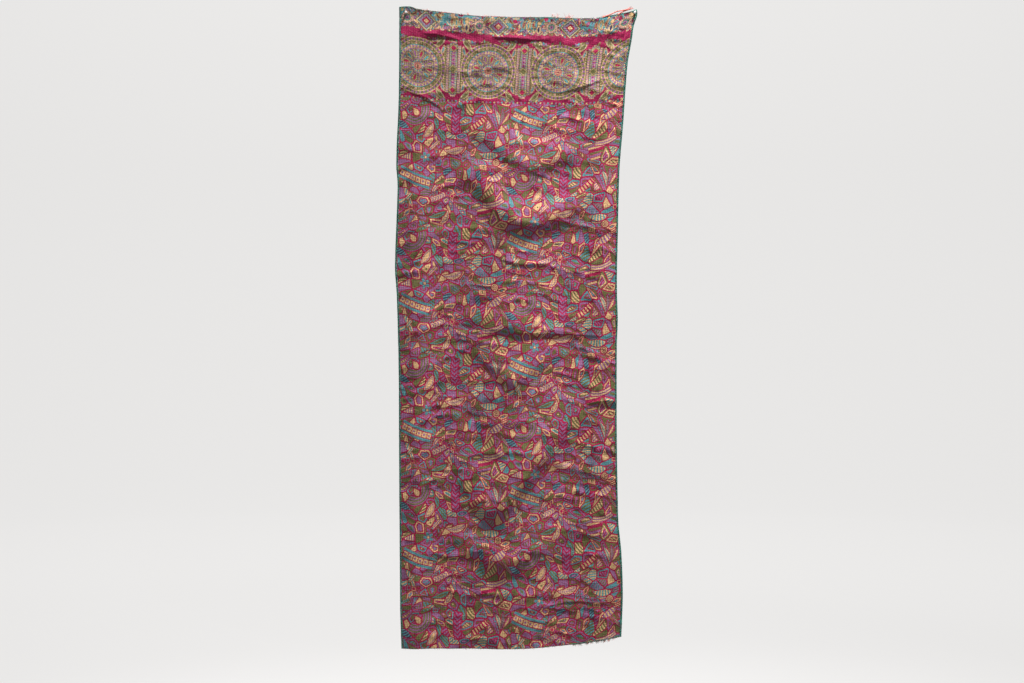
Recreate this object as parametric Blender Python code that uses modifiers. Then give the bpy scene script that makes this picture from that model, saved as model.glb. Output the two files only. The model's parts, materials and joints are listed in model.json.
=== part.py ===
"""Kantha quilt: a long, narrow quilted cloth that hangs face on from two corner pins.

The wall is the plane y = 0 and the cloth's face looks along -Y. +Z is up, and the origin
lies on the wall, midway between the two pins. Everything is in metres.
"""

import math
import random

import bmesh
import bpy
from mathutils import Vector

# Driving sizes
PIN_SPAN = 0.594  # between the centres of the two pins
CLOTH_TOP = 0.0155  # height of the cloth's left top corner above the pins
CLOTH_LENGTH = 1.666  # down the left side, corner to hem
CLOTH_THICKNESS = 0.002
EDGING_WIDTH = 0.0035
EDGING_THICKNESS = 0.0026
PIECE_GAP = 0.0003  # between pieces that touch in use

CLOTH_COLUMNS = 22
CLOTH_ROWS = 84

# The outline. Side edges: height of the point, then how far it lies to the side of the middle.
LEFT_EDGE = (
    (0.015, -0.3150),
    (-0.107, -0.3150),
    (-0.227, -0.3163),
    (-0.393, -0.3225),
    (-0.450, -0.3190),
    (-0.660, -0.3257),
    (-0.736, -0.3210),
    (-0.918, -0.3163),
    (-1.150, -0.3150),
    (-1.399, -0.3132),
    (-1.563, -0.3115),
    (-1.651, -0.3085),
)
RIGHT_EDGE = (
    (0.015, 0.3010),
    (-0.001, 0.3038),
    (-0.011, 0.3020),
    (-0.036, 0.2939),
    (-0.065, 0.2898),
    (-0.138, 0.2778),
    (-0.292, 0.2664),
    (-0.409, 0.2570),
    (-0.591, 0.2523),
    (-0.708, 0.2500),
    (-0.801, 0.2523),
    (-0.871, 0.2500),
    (-1.103, 0.2500),
    (-1.261, 0.2523),
    (-1.332, 0.2547),
    (-1.399, 0.2614),
    (-1.511, 0.2653),
    (-1.620, 0.2614),
)
# The top edge sags between the pins: share of the width, then the drop below CLOTH_TOP.
TOP_SAG = (
    (0.0, 0.0),
    (0.042, 0.0),
    (0.068, 0.0055),
    (0.144, 0.0107),
    (0.293, 0.0216),
    (0.370, 0.0247),
    (0.598, 0.0271),
    (0.821, 0.0299),
    (0.885, 0.0237),
    (0.973, 0.0133),
    (1.0, 0.0076),
)
# The hem climbs towards its right corner: share of the width, then the rise.
HEM_RISE = (
    (0.0, 0.0),
    (0.5, 0.001),
    (0.8, 0.011),
    (0.877, 0.0195),
    (1.0, 0.030),
)
SAG_FADE = 3  # power by which the sag dies out down the cloth
HEM_FADE = 8  # power by which the hem's rise dies out up the cloth

# How far the cloth's middle layer stands off the wall: height, then stand-off.
STAND_OFF = (
    (0.015, 0.0018),
    (-0.060, 0.0024),
    (-0.300, 0.0045),
    (-0.900, 0.0060),
    (-1.400, 0.0080),
    (-1.651, 0.0110),
)

# Soft upright rolls: centre at the top and at the hem, half width, height of the roll,
# and the heights where it starts and where it is full.
ROLLS = (
    {"top_x": -0.262, "hem_x": -0.270, "half": 0.056, "height": 0.010, "start": -0.10, "full": -0.62},
    {"top_x": -0.030, "hem_x": 0.000, "half": 0.150, "height": 0.017, "start": -0.16, "full": -0.60},
    {"top_x": 0.215, "hem_x": 0.205, "half": 0.052, "height": 0.011, "start": -0.08, "full": -0.55},
)

# Swags: slack that hangs in bellies between the pins. "crest" runs left to right along the
# belly's outermost line, "height" is how far it stands out there, and "above" and "below"
# are how far it takes to fall away on each side.
SWAGS = (
    {
        "crest": ((-0.165, -0.275), (-0.060, -0.345), (0.022, -0.398), (0.100, -0.375), (0.190, -0.330)),
        "height": 0.009,
        "above": 0.060,
        "below": 0.024,
    },
    {
        "crest": ((-0.180, -0.395), (-0.095, -0.455), (-0.045, -0.520), (0.030, -0.545), (0.110, -0.520), (0.195, -0.465)),
        "height": 0.017,
        "above": 0.042,
        "below": 0.028,
    },
    {
        "crest": ((-0.215, -0.790), (-0.080, -0.806), (0.030, -0.824), (0.240, -0.815)),
        "height": 0.006,
        "above": 0.040,
        "below": 0.014,
    },
    {
        "crest": ((-0.140, -0.860), (-0.060, -0.925), (-0.020, -0.958), (0.040, -0.915), (0.130, -0.850)),
        "height": 0.008,
        "above": 0.040,
        "below": 0.020,
    },
    {
        "crest": ((-0.185, -1.120), (-0.131, -1.240), (-0.074, -1.290), (-0.014, -1.236), (0.103, -1.085), (0.185, -1.000)),
        "height": 0.016,
        "above": 0.058,
        "below": 0.026,
    },
    {
        "crest": ((-0.185, -1.345), (-0.070, -1.420), (0.025, -1.402), (0.150, -1.330)),
        "height": 0.009,
        "above": 0.034,
        "below": 0.022,
    },
)

CREST_STEP = 0.02  # either side of a place, to find how steeply a crest climbs there

# The pins
PIN_SHANK_RADIUS = 0.0006
PIN_SHANK_INTO_WALL = 0.011
PIN_POINT_LENGTH = 0.002
PIN_HOLE_RADIUS = PIN_SHANK_RADIUS + PIECE_GAP
PIN_SIDES = 20
# A small push pin, turned: distance out from its seat, then radius.
PIN_BODY = (
    (0.0, 0.0032),
    (0.0010, 0.0032),
    (0.0022, 0.0024),
    (0.0058, 0.0022),
    (0.0074, 0.0030),
    (0.0090, 0.0030),
    (0.0098, 0.0021),
    (0.0100, 0.0),
)

# Frayed threads
FRAY_STRIP_HEIGHT = 0.0015
THREAD_WIDTH = 0.0009
THREAD_SPACING = 2.4  # least distance between roots, in thread widths
THREAD_SEED = 7
TOP_TUFTS = ((0.128, 5), (0.355, 6), (0.385, 4), (0.640, 5), (0.668, 4), (0.705, 5))  # place, threads
TOP_LOOSE_THREADS = 16
HEM_TUFTS = ((0.815, 4), (0.850, 5), (0.885, 6), (0.925, 6), (0.965, 5))
HEM_LOOSE_THREADS = 30
TUFT_SPREAD = 0.026  # share of the width
SHORT_THREAD = (0.0030, 0.0070)
THREAD_LEAN = 0.55  # radians that a thread leans over, at most
LEAN_WAVES = 9  # times that the lean swings from one side to the other along the cloth
CURL_WAVES = 14
# Long strands that lie up along the right top corner: share of the width where each is
# rooted, then the steps that it takes to the right and up.
LONG_STRANDS = (
    (0.862, ((0.010, 0.004), (0.013, 0.005), (0.013, 0.006), (0.016, 0.003), (0.014, 0.004), (0.008, 0.006))),
    (0.925, ((0.009, 0.006), (0.012, 0.005), (0.010, 0.003), (0.008, 0.004))),
)


# ---------------------------------------------------------------- the cloth's surface


def along(table, x):
    """The smooth curve through a table's (x, value) rows, level beyond its ends."""
    rows = sorted(table)
    if x <= rows[0][0]:
        return rows[0][1]
    if x >= rows[-1][0]:
        return rows[-1][1]
    after = next(i for i, row in enumerate(rows) if row[0] >= x)
    (x0, v0), (x1, v1) = rows[after - 1], rows[after]
    span = x1 - x0
    slope0 = row_slope(rows, after - 1) * span
    slope1 = row_slope(rows, after) * span
    t = (x - x0) / span
    rise = t * t * (3 - 2 * t)
    return v0 + (v1 - v0) * rise + slope0 * t * (1 - t) ** 2 - slope1 * t * t * (1 - t)


def row_slope(rows, i):
    """The curve's slope at row i, from the rows on both sides of it."""
    low = rows[max(i - 1, 0)]
    high = rows[min(i + 1, len(rows) - 1)]
    return (high[1] - low[1]) / (high[0] - low[0])


def ease(x):
    """0 below 0, 1 above 1, and a soft S between."""
    x = min(max(x, 0.0), 1.0)
    return x * x * (3 - 2 * x)


def roll_depth(roll, x, z):
    """How far one upright roll stands out at this place."""
    down = ease((z - CLOTH_TOP) / -CLOTH_LENGTH)
    centre = roll["top_x"] + (roll["hem_x"] - roll["top_x"]) * down
    across = abs(x - centre) / roll["half"]
    grown = ease((z - roll["start"]) / (roll["full"] - roll["start"]))
    return roll["height"] * ease(1 - across) * grown


def swag_depth(swag, x, z):
    """How far one swag stands out at this place: a slow slope above its crest, a quick one below."""
    crest = swag["crest"]
    place = (x - crest[0][0]) / (crest[-1][0] - crest[0][0])
    if not 0 < place < 1:
        return 0.0
    slope = (along(crest, x + CREST_STEP) - along(crest, x - CREST_STEP)) / (2 * CREST_STEP)
    above_crest = (z - along(crest, x)) / math.hypot(1, slope)
    reach = swag["above"] if above_crest > 0 else swag["below"]
    return swag["height"] * math.sin(math.pi * place) * math.exp(-((above_crest / reach) ** 2))


def depth(x, z):
    """How far the cloth's middle layer lies in front of the wall."""
    rolls = sum(roll_depth(roll, x, z) for roll in ROLLS)
    swags = sum(swag_depth(swag, x, z) for swag in SWAGS)
    return along(STAND_OFF, z) + rolls + swags


def height_of(across, down):
    """Height of the point a share across the cloth and a share down it."""
    sag = along(TOP_SAG, across) * (1 - down) ** SAG_FADE
    rise = along(HEM_RISE, across) * down**HEM_FADE
    return CLOTH_TOP - FRAY_STRIP_HEIGHT - down * hem_span() - sag + rise


def hem_span():
    """Length of the cloth itself, between the frayed strips at its two ends."""
    return CLOTH_LENGTH - 2 * FRAY_STRIP_HEIGHT


def side_edges(z):
    """The outline's left and right edge at this height."""
    return along(LEFT_EDGE, z), along(RIGHT_EDGE, z)


def cloth_point(across, down):
    """Place of the point a share across the cloth and a share down it."""
    z = height_of(across, down)
    left, right = side_edges(z)
    inset = EDGING_WIDTH + PIECE_GAP
    x = left + inset + across * (right - left - 2 * inset)
    return Vector((x, -depth(x, z), z))


def end_point(across, end):
    """Place on the cloth's straight-sided top edge (end 0) or hem (end 1), as its columns make it."""
    column = min(int(across * CLOTH_COLUMNS), CLOTH_COLUMNS - 1)
    before = cloth_point(column / CLOTH_COLUMNS, end)
    after = cloth_point((column + 1) / CLOTH_COLUMNS, end)
    return before.lerp(after, across * CLOTH_COLUMNS - column)


# ---------------------------------------------------------------- making


def clear_scene():
    for old in list(bpy.data.objects):
        bpy.data.objects.remove(old, do_unlink=True)


def collection(name):
    made = bpy.data.collections.new(name)
    bpy.context.scene.collection.children.link(made)
    return made


def material(name, colour, roughness, metallic=0.0):
    made = bpy.data.materials.new(name)
    made.use_nodes = True
    shader = made.node_tree.nodes["Principled BSDF"]
    shader.inputs["Base Color"].default_value = (*colour, 1.0)
    shader.inputs["Roughness"].default_value = roughness
    shader.inputs["Metallic"].default_value = metallic
    return made


def grid_object(name, columns, rows, place, into, finish):
    """A grid whose points go where place(across, down) puts them."""
    bm = bmesh.new()
    bmesh.ops.create_grid(bm, x_segments=columns, y_segments=rows, size=1.0)
    for vertex in bm.verts:
        across = (vertex.co.x + 1) / 2
        down = (1 - vertex.co.y) / 2
        vertex.co = place(across, down)
    return object_from(bm, name, into, finish)


def object_from(bm, name, into, finish):
    bmesh.ops.recalc_face_normals(bm, faces=bm.faces)
    mesh = bpy.data.meshes.new(name)
    bm.to_mesh(mesh)
    bm.free()
    made = bpy.data.objects.new(name, mesh)
    made.data.materials.append(finish)
    into.objects.link(made)
    return made


def thicken(thing, thickness):
    solid = thing.modifiers.new("Thickness", "SOLIDIFY")
    solid.thickness = thickness
    solid.offset = 0.0
    for face in thing.data.polygons:
        face.use_smooth = True


def pin_place(side):
    """The middle of one pin where it meets the wall; side is -1 on the left and 1 on the right."""
    return Vector((side * PIN_SPAN / 2, 0.0, 0.0))


def hole_cutter(side, into):
    """A round bar through the cloth at one pin."""
    bm = bmesh.new()
    bmesh.ops.create_cone(
        bm,
        cap_ends=True,
        segments=PIN_SIDES,
        radius1=PIN_HOLE_RADIUS,
        radius2=PIN_HOLE_RADIUS,
        depth=0.06,
    )
    mesh = bpy.data.meshes.new("pin_hole")
    bm.to_mesh(mesh)
    bm.free()
    cutter = bpy.data.objects.new("pin_hole_" + side_name(side), mesh)
    cutter.rotation_euler = (math.pi / 2, 0, 0)
    cutter.location = pin_place(side)
    cutter.hide_render = True
    cutter.display_type = "WIRE"
    into.objects.link(cutter)
    return cutter


def side_name(side):
    return "left" if side < 0 else "right"


def make_cloth(into, cutters, finish):
    """The quilt itself: one sheet with its outline, rolls and swags, pierced by the two pins."""
    cloth = grid_object("quilt_cloth", CLOTH_COLUMNS, CLOTH_ROWS, cloth_point, into, finish)
    thicken(cloth, CLOTH_THICKNESS)
    for side in (-1, 1):
        cut = cloth.modifiers.new("Pin hole " + side_name(side), "BOOLEAN")
        cut.operation = "DIFFERENCE"
        cut.object = hole_cutter(side, cutters)
    return cloth


def make_edging(side, into, finish):
    """The narrow stitched edging down one side of the cloth."""

    def place(across, down):
        z = height_of(0.0 if side < 0 else 1.0, down)
        outline = side_edges(z)[0 if side < 0 else 1]
        inner_share = 1 - across if side > 0 else across
        x = outline - side * EDGING_WIDTH * inner_share
        past_end = {0.0: FRAY_STRIP_HEIGHT, 1.0: -FRAY_STRIP_HEIGHT}.get(down, 0.0)
        return Vector((x, -depth(x, z), z + past_end))

    edging = grid_object("edging_" + side_name(side), 1, CLOTH_ROWS, place, into, finish)
    thicken(edging, EDGING_THICKNESS)
    return edging


def thread_places(tufts, loose, chance):
    """Where the threads are rooted, as shares of the width, with room between them."""
    wanted = []
    for place, count in tufts:
        wanted += [place + TUFT_SPREAD * (chance.random() - 0.5) for _ in range(count)]
    wanted += [chance.uniform(0.02, 0.98) for _ in range(loose)]
    kept = []
    for place in sorted(wanted):
        if not kept or place - kept[-1] > THREAD_SPACING * THREAD_WIDTH / PIN_SPAN:
            kept.append(place)
    return kept


def short_steps(place, up, chance):
    """The steps of a short frayed thread. Neighbours lean and curl alike, so they don't cross."""
    length = chance.uniform(*SHORT_THREAD)
    lean = THREAD_LEAN * math.sin(2 * math.pi * LEAN_WAVES * place)
    curl = THREAD_LEAN / 2 * math.sin(2 * math.pi * CURL_WAVES * place + 1)
    steps = []
    for slant in (lean, lean + curl):
        steps.append((length / 2 * math.sin(slant), up * length / 2 * math.cos(slant)))
    return steps


def make_fray(name, end, threads, into, finish):
    """A narrow strip of loosened weave along one end of the cloth, and the threads that stand
    out of it. end is 0 at the top and 1 at the hem; each thread is its place and its steps."""
    up = 1 if end == 0 else -1
    half = THREAD_WIDTH / (2 * PIN_SPAN)
    roots = {border for place, _ in threads for border in (place - half, place + half)}
    columns = {column / CLOTH_COLUMNS for column in range(CLOTH_COLUMNS + 1)}
    clear = {c for c in columns if all(abs(c - root) > half for root in roots)}
    borders = sorted(roots | clear)

    bm = bmesh.new()
    bmesh.ops.create_grid(bm, x_segments=len(borders) - 1, y_segments=1, size=1.0)
    bm.verts.ensure_lookup_table()
    outer = {}
    for vertex in bm.verts:
        column = round((vertex.co.x + 1) / 2 * (len(borders) - 1))
        is_outer = vertex.co.y > 0
        point = end_point(borders[column], end)
        point.z += up * (PIECE_GAP + (FRAY_STRIP_HEIGHT if is_outer else 0.0))
        if is_outer:
            outer[column] = vertex
        vertex.co = point
    for place, steps in threads:
        column = borders.index(place - half)
        grow_thread(bm, outer[column], outer[column + 1], steps, up)
    fray = object_from(bm, name, into, finish)
    thicken(fray, THREAD_WIDTH)
    return fray


def grow_thread(bm, left, right, steps, up):
    """Draws a thread out of the strip's outer edge, one step at a time, square to its course."""
    centre = (left.co + right.co) / 2
    for number, (across, rise) in enumerate(steps):
        made = bmesh.ops.extrude_edge_only(bm, edges=[bm.edges.get((left, right))])["geom"]
        ends = [item for item in made if isinstance(item, bmesh.types.BMVert)]
        ends.sort(key=lambda vertex: bm.edges.get((vertex, left)) is None)
        left, right = ends
        centre = centre + Vector((across, 0.0, rise))
        ahead = steps[min(number + 1, len(steps) - 1)]
        heading = Vector((across + ahead[0], 0.0, rise + ahead[1])).normalized()
        sideways = Vector((heading.z, 0.0, -heading.x)) * (up * THREAD_WIDTH / 2)
        left.co = centre - sideways
        right.co = centre + sideways


def make_pin(side, into, finish):
    """A turned push pin: its body in front of the cloth, and a shank through it into the wall.
    The right pin sits so near the corner that its body bears on the edging too."""
    place = pin_place(side)
    seat_thickness = EDGING_THICKNESS if side > 0 else CLOTH_THICKNESS
    seat = depth(place.x, place.z) + seat_thickness / 2 + PIECE_GAP
    profile = [(radius, seat + out) for out, radius in reversed(PIN_BODY)]
    profile += [
        (PIN_SHANK_RADIUS, seat),
        (PIN_SHANK_RADIUS, PIN_POINT_LENGTH - PIN_SHANK_INTO_WALL),
        (0.0, -PIN_SHANK_INTO_WALL),
    ]
    bm = bmesh.new()
    points = [bm.verts.new((radius, 0.0, out)) for radius, out in profile]
    for a, b in zip(points, points[1:]):
        bm.edges.new((a, b))
    mesh = bpy.data.meshes.new("pin_" + side_name(side))
    bm.to_mesh(mesh)
    bm.free()
    pin = bpy.data.objects.new(mesh.name, mesh)
    pin.data.materials.append(finish)
    into.objects.link(pin)
    pin.rotation_euler = (math.pi / 2, 0, 0)
    pin.location = place
    turned = pin.modifiers.new("Turned", "SCREW")
    turned.steps = PIN_SIDES
    turned.render_steps = PIN_SIDES
    turned.use_merge_vertices = True
    turned.merge_threshold = 0.00001
    turned.use_smooth_shade = True
    return pin


def build():
    clear_scene()
    parts = collection("kantha_quilt")
    cutters = collection("cutters")
    print_cloth = material("printed_cloth", (0.36, 0.12, 0.17), 0.62)
    edging = material("edging_thread", (0.035, 0.16, 0.13), 0.55)
    fray = material("frayed_thread", (0.75, 0.38, 0.28), 0.7)
    head = material("pin_white", (0.86, 0.86, 0.84), 0.35)

    make_cloth(parts, cutters, print_cloth)
    for side in (-1, 1):
        make_edging(side, parts, edging)
        make_pin(side, parts, head)

    chance = random.Random(THREAD_SEED)
    top = thread_places(TOP_TUFTS, TOP_LOOSE_THREADS, chance)
    top = [place for place in top if place < LONG_STRANDS[0][0] - 0.01]
    top_threads = [(place, short_steps(place, 1, chance)) for place in top]
    make_fray("frayed_top", 0, top_threads + list(LONG_STRANDS), parts, fray)
    hem = thread_places(HEM_TUFTS, HEM_LOOSE_THREADS, chance)
    hem_threads = [(place, short_steps(place, -1, chance)) for place in hem]
    make_fray("frayed_hem", 1, hem_threads, parts, fray)


build()
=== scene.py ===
# %% [markdown]
# # A kantha quilt hung from two push pins
# A kantha quilt is a few layers of worn sari cloth, held together by rows of running
# stitch. This one is long and narrow. Its face is printed all over, its sides are overcast
# with green thread, its two ends are torn edges that fray, and two push pins in its top
# corners hold it to a wall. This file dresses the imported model: it keeps the model's sizes
# and makes every visible surface again, finely.

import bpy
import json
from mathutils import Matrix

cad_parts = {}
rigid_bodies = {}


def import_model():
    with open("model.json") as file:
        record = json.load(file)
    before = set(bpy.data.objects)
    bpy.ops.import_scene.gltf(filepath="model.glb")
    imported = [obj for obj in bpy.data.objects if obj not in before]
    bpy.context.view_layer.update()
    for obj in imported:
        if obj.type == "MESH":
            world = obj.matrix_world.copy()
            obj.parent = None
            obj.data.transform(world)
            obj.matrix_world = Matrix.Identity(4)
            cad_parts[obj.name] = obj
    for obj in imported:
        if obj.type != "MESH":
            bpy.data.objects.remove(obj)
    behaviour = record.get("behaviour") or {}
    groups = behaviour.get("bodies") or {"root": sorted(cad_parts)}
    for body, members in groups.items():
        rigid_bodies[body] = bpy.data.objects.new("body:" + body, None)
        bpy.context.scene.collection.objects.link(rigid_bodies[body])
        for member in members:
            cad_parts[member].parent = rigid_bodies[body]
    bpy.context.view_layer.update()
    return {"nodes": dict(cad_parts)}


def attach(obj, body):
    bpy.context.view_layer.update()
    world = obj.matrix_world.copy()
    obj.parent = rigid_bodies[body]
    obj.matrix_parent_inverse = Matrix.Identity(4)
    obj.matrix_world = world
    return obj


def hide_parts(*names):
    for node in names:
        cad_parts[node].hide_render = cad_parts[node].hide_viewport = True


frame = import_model()

print("nodes:", ", ".join(sorted(frame["nodes"])))

# %% Modules
import json
import math
import random

import bmesh
import bpy
import numpy as np
from mathutils import Vector
from mathutils.geometry import delaunay_2d_cdt

# %% [markdown]
# ## The studio
# The quilt hangs free in the scene, so the room only has to be pale, plain and bright from
# every side. A round one with no corner does that: a cylinder with its top taken off, the
# edge of its floor rounded with a wide bevel, and its faces turned inwards. Its paper glows
# a little by itself, so that no wall falls into grey, but it throws no light on the cloth,
# whose folds would fill in and turn flat.

# %% Helpers for working as by hand
def deselect_all():
    for thing in bpy.context.scene.objects:
        thing.select_set(False)


def make_active(thing):
    deselect_all()
    thing.select_set(True)
    bpy.context.view_layer.objects.active = thing


def select_where(thing, kind, test):
    """In edit mode, selects the vertices, edges or faces for which test(item) is true."""
    bpy.ops.mesh.select_mode(type=kind)
    bpy.ops.mesh.select_all(action="DESELECT")
    edited = bmesh.from_edit_mesh(thing.data)
    items = {"VERT": edited.verts, "EDGE": edited.edges, "FACE": edited.faces}[kind]
    for item in items:
        item.select = bool(test(item))
    edited.select_flush_mode()
    bmesh.update_edit_mesh(thing.data)


def apply_modifiers(thing):
    make_active(thing)
    for modifier in list(thing.modifiers):
        bpy.ops.object.modifier_apply(modifier=modifier.name)


# %% The sweep
FLOOR_HEIGHT = -2.1
ROOM_RADIUS = 9.0
WALL_HEIGHT = 10.0
SWEEP_ROUND = 2.5

deselect_all()
bpy.ops.mesh.primitive_cylinder_add(
    vertices=96,
    radius=ROOM_RADIUS,
    depth=WALL_HEIGHT,
    end_fill_type="NGON",
    location=(0, 0, FLOOR_HEIGHT + WALL_HEIGHT / 2),
)
sweep = bpy.context.object
sweep.name = "sweep"
bpy.ops.object.transform_apply(location=True, rotation=False, scale=False)
bpy.ops.object.mode_set(mode="EDIT")
select_where(sweep, "FACE", lambda face: face.normal.z > 0.9)
bpy.ops.mesh.delete(type="FACE")
select_where(sweep, "EDGE", lambda edge: all(v.co.z < FLOOR_HEIGHT + 0.1 for v in edge.verts))
bpy.ops.mesh.bevel(offset=SWEEP_ROUND, segments=12, affect="EDGES")
bpy.ops.mesh.select_all(action="SELECT")
bpy.ops.mesh.flip_normals()
bpy.ops.object.mode_set(mode="OBJECT")
bpy.ops.object.shade_smooth()
sweep.visible_diffuse = False
print("sweep:", len(sweep.data.polygons), "faces")


# %% Colours, from the values that a paint program shows
def linear(red, green, blue):
    """A screen colour, 0 to 255 each, as the linear light that a shader works with."""
    return tuple(
        c / 255 / 12.92 if c <= 10 else ((c / 255 + 0.055) / 1.055) ** 2.4
        for c in (red, green, blue)
    )


PAPER_WHITE = linear(252, 251, 250)
STUDIO_GREY = linear(108, 107, 106)
GLOW = 0.67

sweep_paint = bpy.data.materials.new("sweep_paint")
sweep_paint.use_nodes = True
paint_values = sweep_paint.node_tree.nodes["Principled BSDF"].inputs
paint_values["Base Color"].default_value = (*STUDIO_GREY, 1)
paint_values["Roughness"].default_value = 0.9
paint_values["Emission Color"].default_value = (*PAPER_WHITE, 1)
paint_values["Emission Strength"].default_value = GLOW
sweep.data.materials.append(sweep_paint)

# %% [markdown]
# ## Camera and light
# The camera stands 4.2 m in front of the cloth, a little above its middle, and looks level,
# so the cloth's sides stay upright. A small vertical shift frames it, in place of a tilt.
# The light on the face is a small soft panel high above and a little in front, aimed at the
# cloth's lower part, so that the top, which is nearer to it, gets no more than the hem, and
# the underside of each fold is darker than its upper side. A second panel does the same for
# the back, a wide third one lights the far side of the room, and a dim pale sky fills in.

# %% The camera
CAMERA_PLACE = (-0.022, -4.216, -0.788)
LENS = 57.0
FULL_FRAME = 36.0  # the width of the camera's sensor, in millimetres
CAMERA_SHIFT = -0.025

camera_data = bpy.data.cameras.new("camera")
camera_data.lens = LENS
camera_data.sensor_width = FULL_FRAME
camera_data.shift_y = CAMERA_SHIFT
camera = bpy.data.objects.new("camera", camera_data)
camera.location = CAMERA_PLACE
camera.rotation_euler = (math.radians(90), 0, 0)
bpy.context.scene.collection.objects.link(camera)
bpy.context.scene.camera = camera


# %% The lights
def panel_light(name, place, target, size, power, spread):
    data = bpy.data.lights.new(name, "AREA")
    data.shape = "SQUARE"
    data.size = size
    data.energy = power
    data.spread = math.radians(spread)
    light = bpy.data.objects.new(name, data)
    light.location = place
    light.rotation_euler = (Vector(target) - Vector(place)).to_track_quat("-Z", "Y").to_euler()
    bpy.context.scene.collection.objects.link(light)


# Name, place, what it is aimed at, size in metres, power in watts, spread in degrees
PANELS = (
    ("key_panel", (0.8, -1.05, 2.6), (0.0, 0.0, -1.75), 0.45, 27, 60),
    ("back_panel", (-1.2, 1.9, 2.6), (0.0, 0.0, -1.4), 0.6, 27, 60),
    ("backdrop_panel", (0.0, 3.2, 4.5), (0.0, 8.0, 0.0), 4.0, 430, 180),
)
SKY_COLOUR = (1.0, 0.99, 0.98, 1)
SKY_STRENGTH = 0.222

for row in PANELS:
    panel_light(*row)

sky = bpy.data.worlds.new("sky")
sky.use_nodes = True
sky_values = sky.node_tree.nodes["Background"].inputs
sky_values["Color"].default_value = SKY_COLOUR
sky_values["Strength"].default_value = SKY_STRENGTH
bpy.context.scene.world = sky
bpy.context.scene.view_settings.view_transform = "Standard"

# %% [markdown]
# ## How the cloth hangs
# The real quilt is pinned at two corners only. Its top edge sags between them, slack hangs
# below in swags, and three soft upright rolls run down to the hem. The same few tables that
# shape the solid model say where each of these lies, so that this finer surface lies
# exactly on it. Everything is worked out for whole arrays of points at once with numpy,
# because the fine cloth has tens of thousands of them.

# %% Driving sizes
PIN_SPAN = 0.594  # between the centres of the two pins
CLOTH_TOP = 0.0155
CLOTH_LENGTH = 1.666
CLOTH_THICKNESS = 0.002
EDGING_WIDTH = 0.0035
PIECE_GAP = 0.0003
FRAY_STRIP_HEIGHT = 0.0015
FLAT_WIDTH = 0.612  # the cloth as cut, between its two edgings
FLAT_LENGTH = CLOTH_LENGTH - 2 * FRAY_STRIP_HEIGHT
INSET = EDGING_WIDTH + PIECE_GAP  # from the outline to the cloth itself

# Side edges: height of the point, then how far it lies to the side of the middle.
LEFT_EDGE = (
    (0.015, -0.3150),
    (-0.107, -0.3150),
    (-0.227, -0.3163),
    (-0.393, -0.3225),
    (-0.450, -0.3190),
    (-0.660, -0.3257),
    (-0.736, -0.3210),
    (-0.918, -0.3163),
    (-1.150, -0.3150),
    (-1.399, -0.3132),
    (-1.563, -0.3115),
    (-1.651, -0.3085),
)
RIGHT_EDGE = (
    (0.015, 0.3010),
    (-0.001, 0.3038),
    (-0.011, 0.3020),
    (-0.036, 0.2939),
    (-0.065, 0.2898),
    (-0.138, 0.2778),
    (-0.292, 0.2664),
    (-0.409, 0.2570),
    (-0.591, 0.2523),
    (-0.708, 0.2500),
    (-0.801, 0.2523),
    (-0.871, 0.2500),
    (-1.103, 0.2500),
    (-1.261, 0.2523),
    (-1.332, 0.2547),
    (-1.399, 0.2614),
    (-1.511, 0.2653),
    (-1.620, 0.2614),
)
# The top edge sags: share of the width, then the drop. The hem climbs: share, then the rise.
TOP_SAG = (
    (0.0, 0.0),
    (0.042, 0.0),
    (0.068, 0.0055),
    (0.144, 0.0107),
    (0.293, 0.0216),
    (0.370, 0.0247),
    (0.598, 0.0271),
    (0.821, 0.0299),
    (0.885, 0.0237),
    (0.973, 0.0133),
    (1.0, 0.0076),
)
HEM_RISE = (
    (0.0, 0.0),
    (0.5, 0.001),
    (0.8, 0.011),
    (0.877, 0.0195),
    (1.0, 0.030),
)
SAG_FADE = 3
HEM_FADE = 8
# Height, then how far the cloth's middle layer stands off the wall.
STAND_OFF = (
    (0.015, 0.0018),
    (-0.060, 0.0024),
    (-0.300, 0.0045),
    (-0.900, 0.0060),
    (-1.400, 0.0080),
    (-1.651, 0.0110),
)
# Upright rolls: centre at the top and hem, half width, height, where each starts and is full.
ROLLS = (
    (-0.262, -0.270, 0.056, 0.010, -0.10, -0.62),
    (-0.030, 0.000, 0.150, 0.017, -0.16, -0.60),
    (0.215, 0.205, 0.052, 0.011, -0.08, -0.55),
)
# Swags: height, how far each falls away above and below its crest, and the crest's points.
SWAGS = (
    (0.009, 0.060, 0.024,
     ((-0.165, -0.275), (-0.060, -0.345), (0.022, -0.398), (0.100, -0.375), (0.190, -0.330))),
    (0.017, 0.042, 0.028,
     ((-0.180, -0.395), (-0.095, -0.455), (-0.045, -0.520), (0.030, -0.545), (0.110, -0.520),
      (0.195, -0.465))),
    (0.006, 0.040, 0.014, ((-0.215, -0.790), (-0.080, -0.806), (0.030, -0.824), (0.240, -0.815))),
    (0.008, 0.040, 0.020,
     ((-0.140, -0.860), (-0.060, -0.925), (-0.020, -0.958), (0.040, -0.915), (0.130, -0.850))),
    (0.016, 0.058, 0.026,
     ((-0.185, -1.120), (-0.131, -1.240), (-0.074, -1.290), (-0.014, -1.236), (0.103, -1.085),
      (0.185, -1.000))),
    (0.009, 0.034, 0.022, ((-0.185, -1.345), (-0.070, -1.420), (0.025, -1.402), (0.150, -1.330))),
)
CREST_STEP = 0.02


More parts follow.
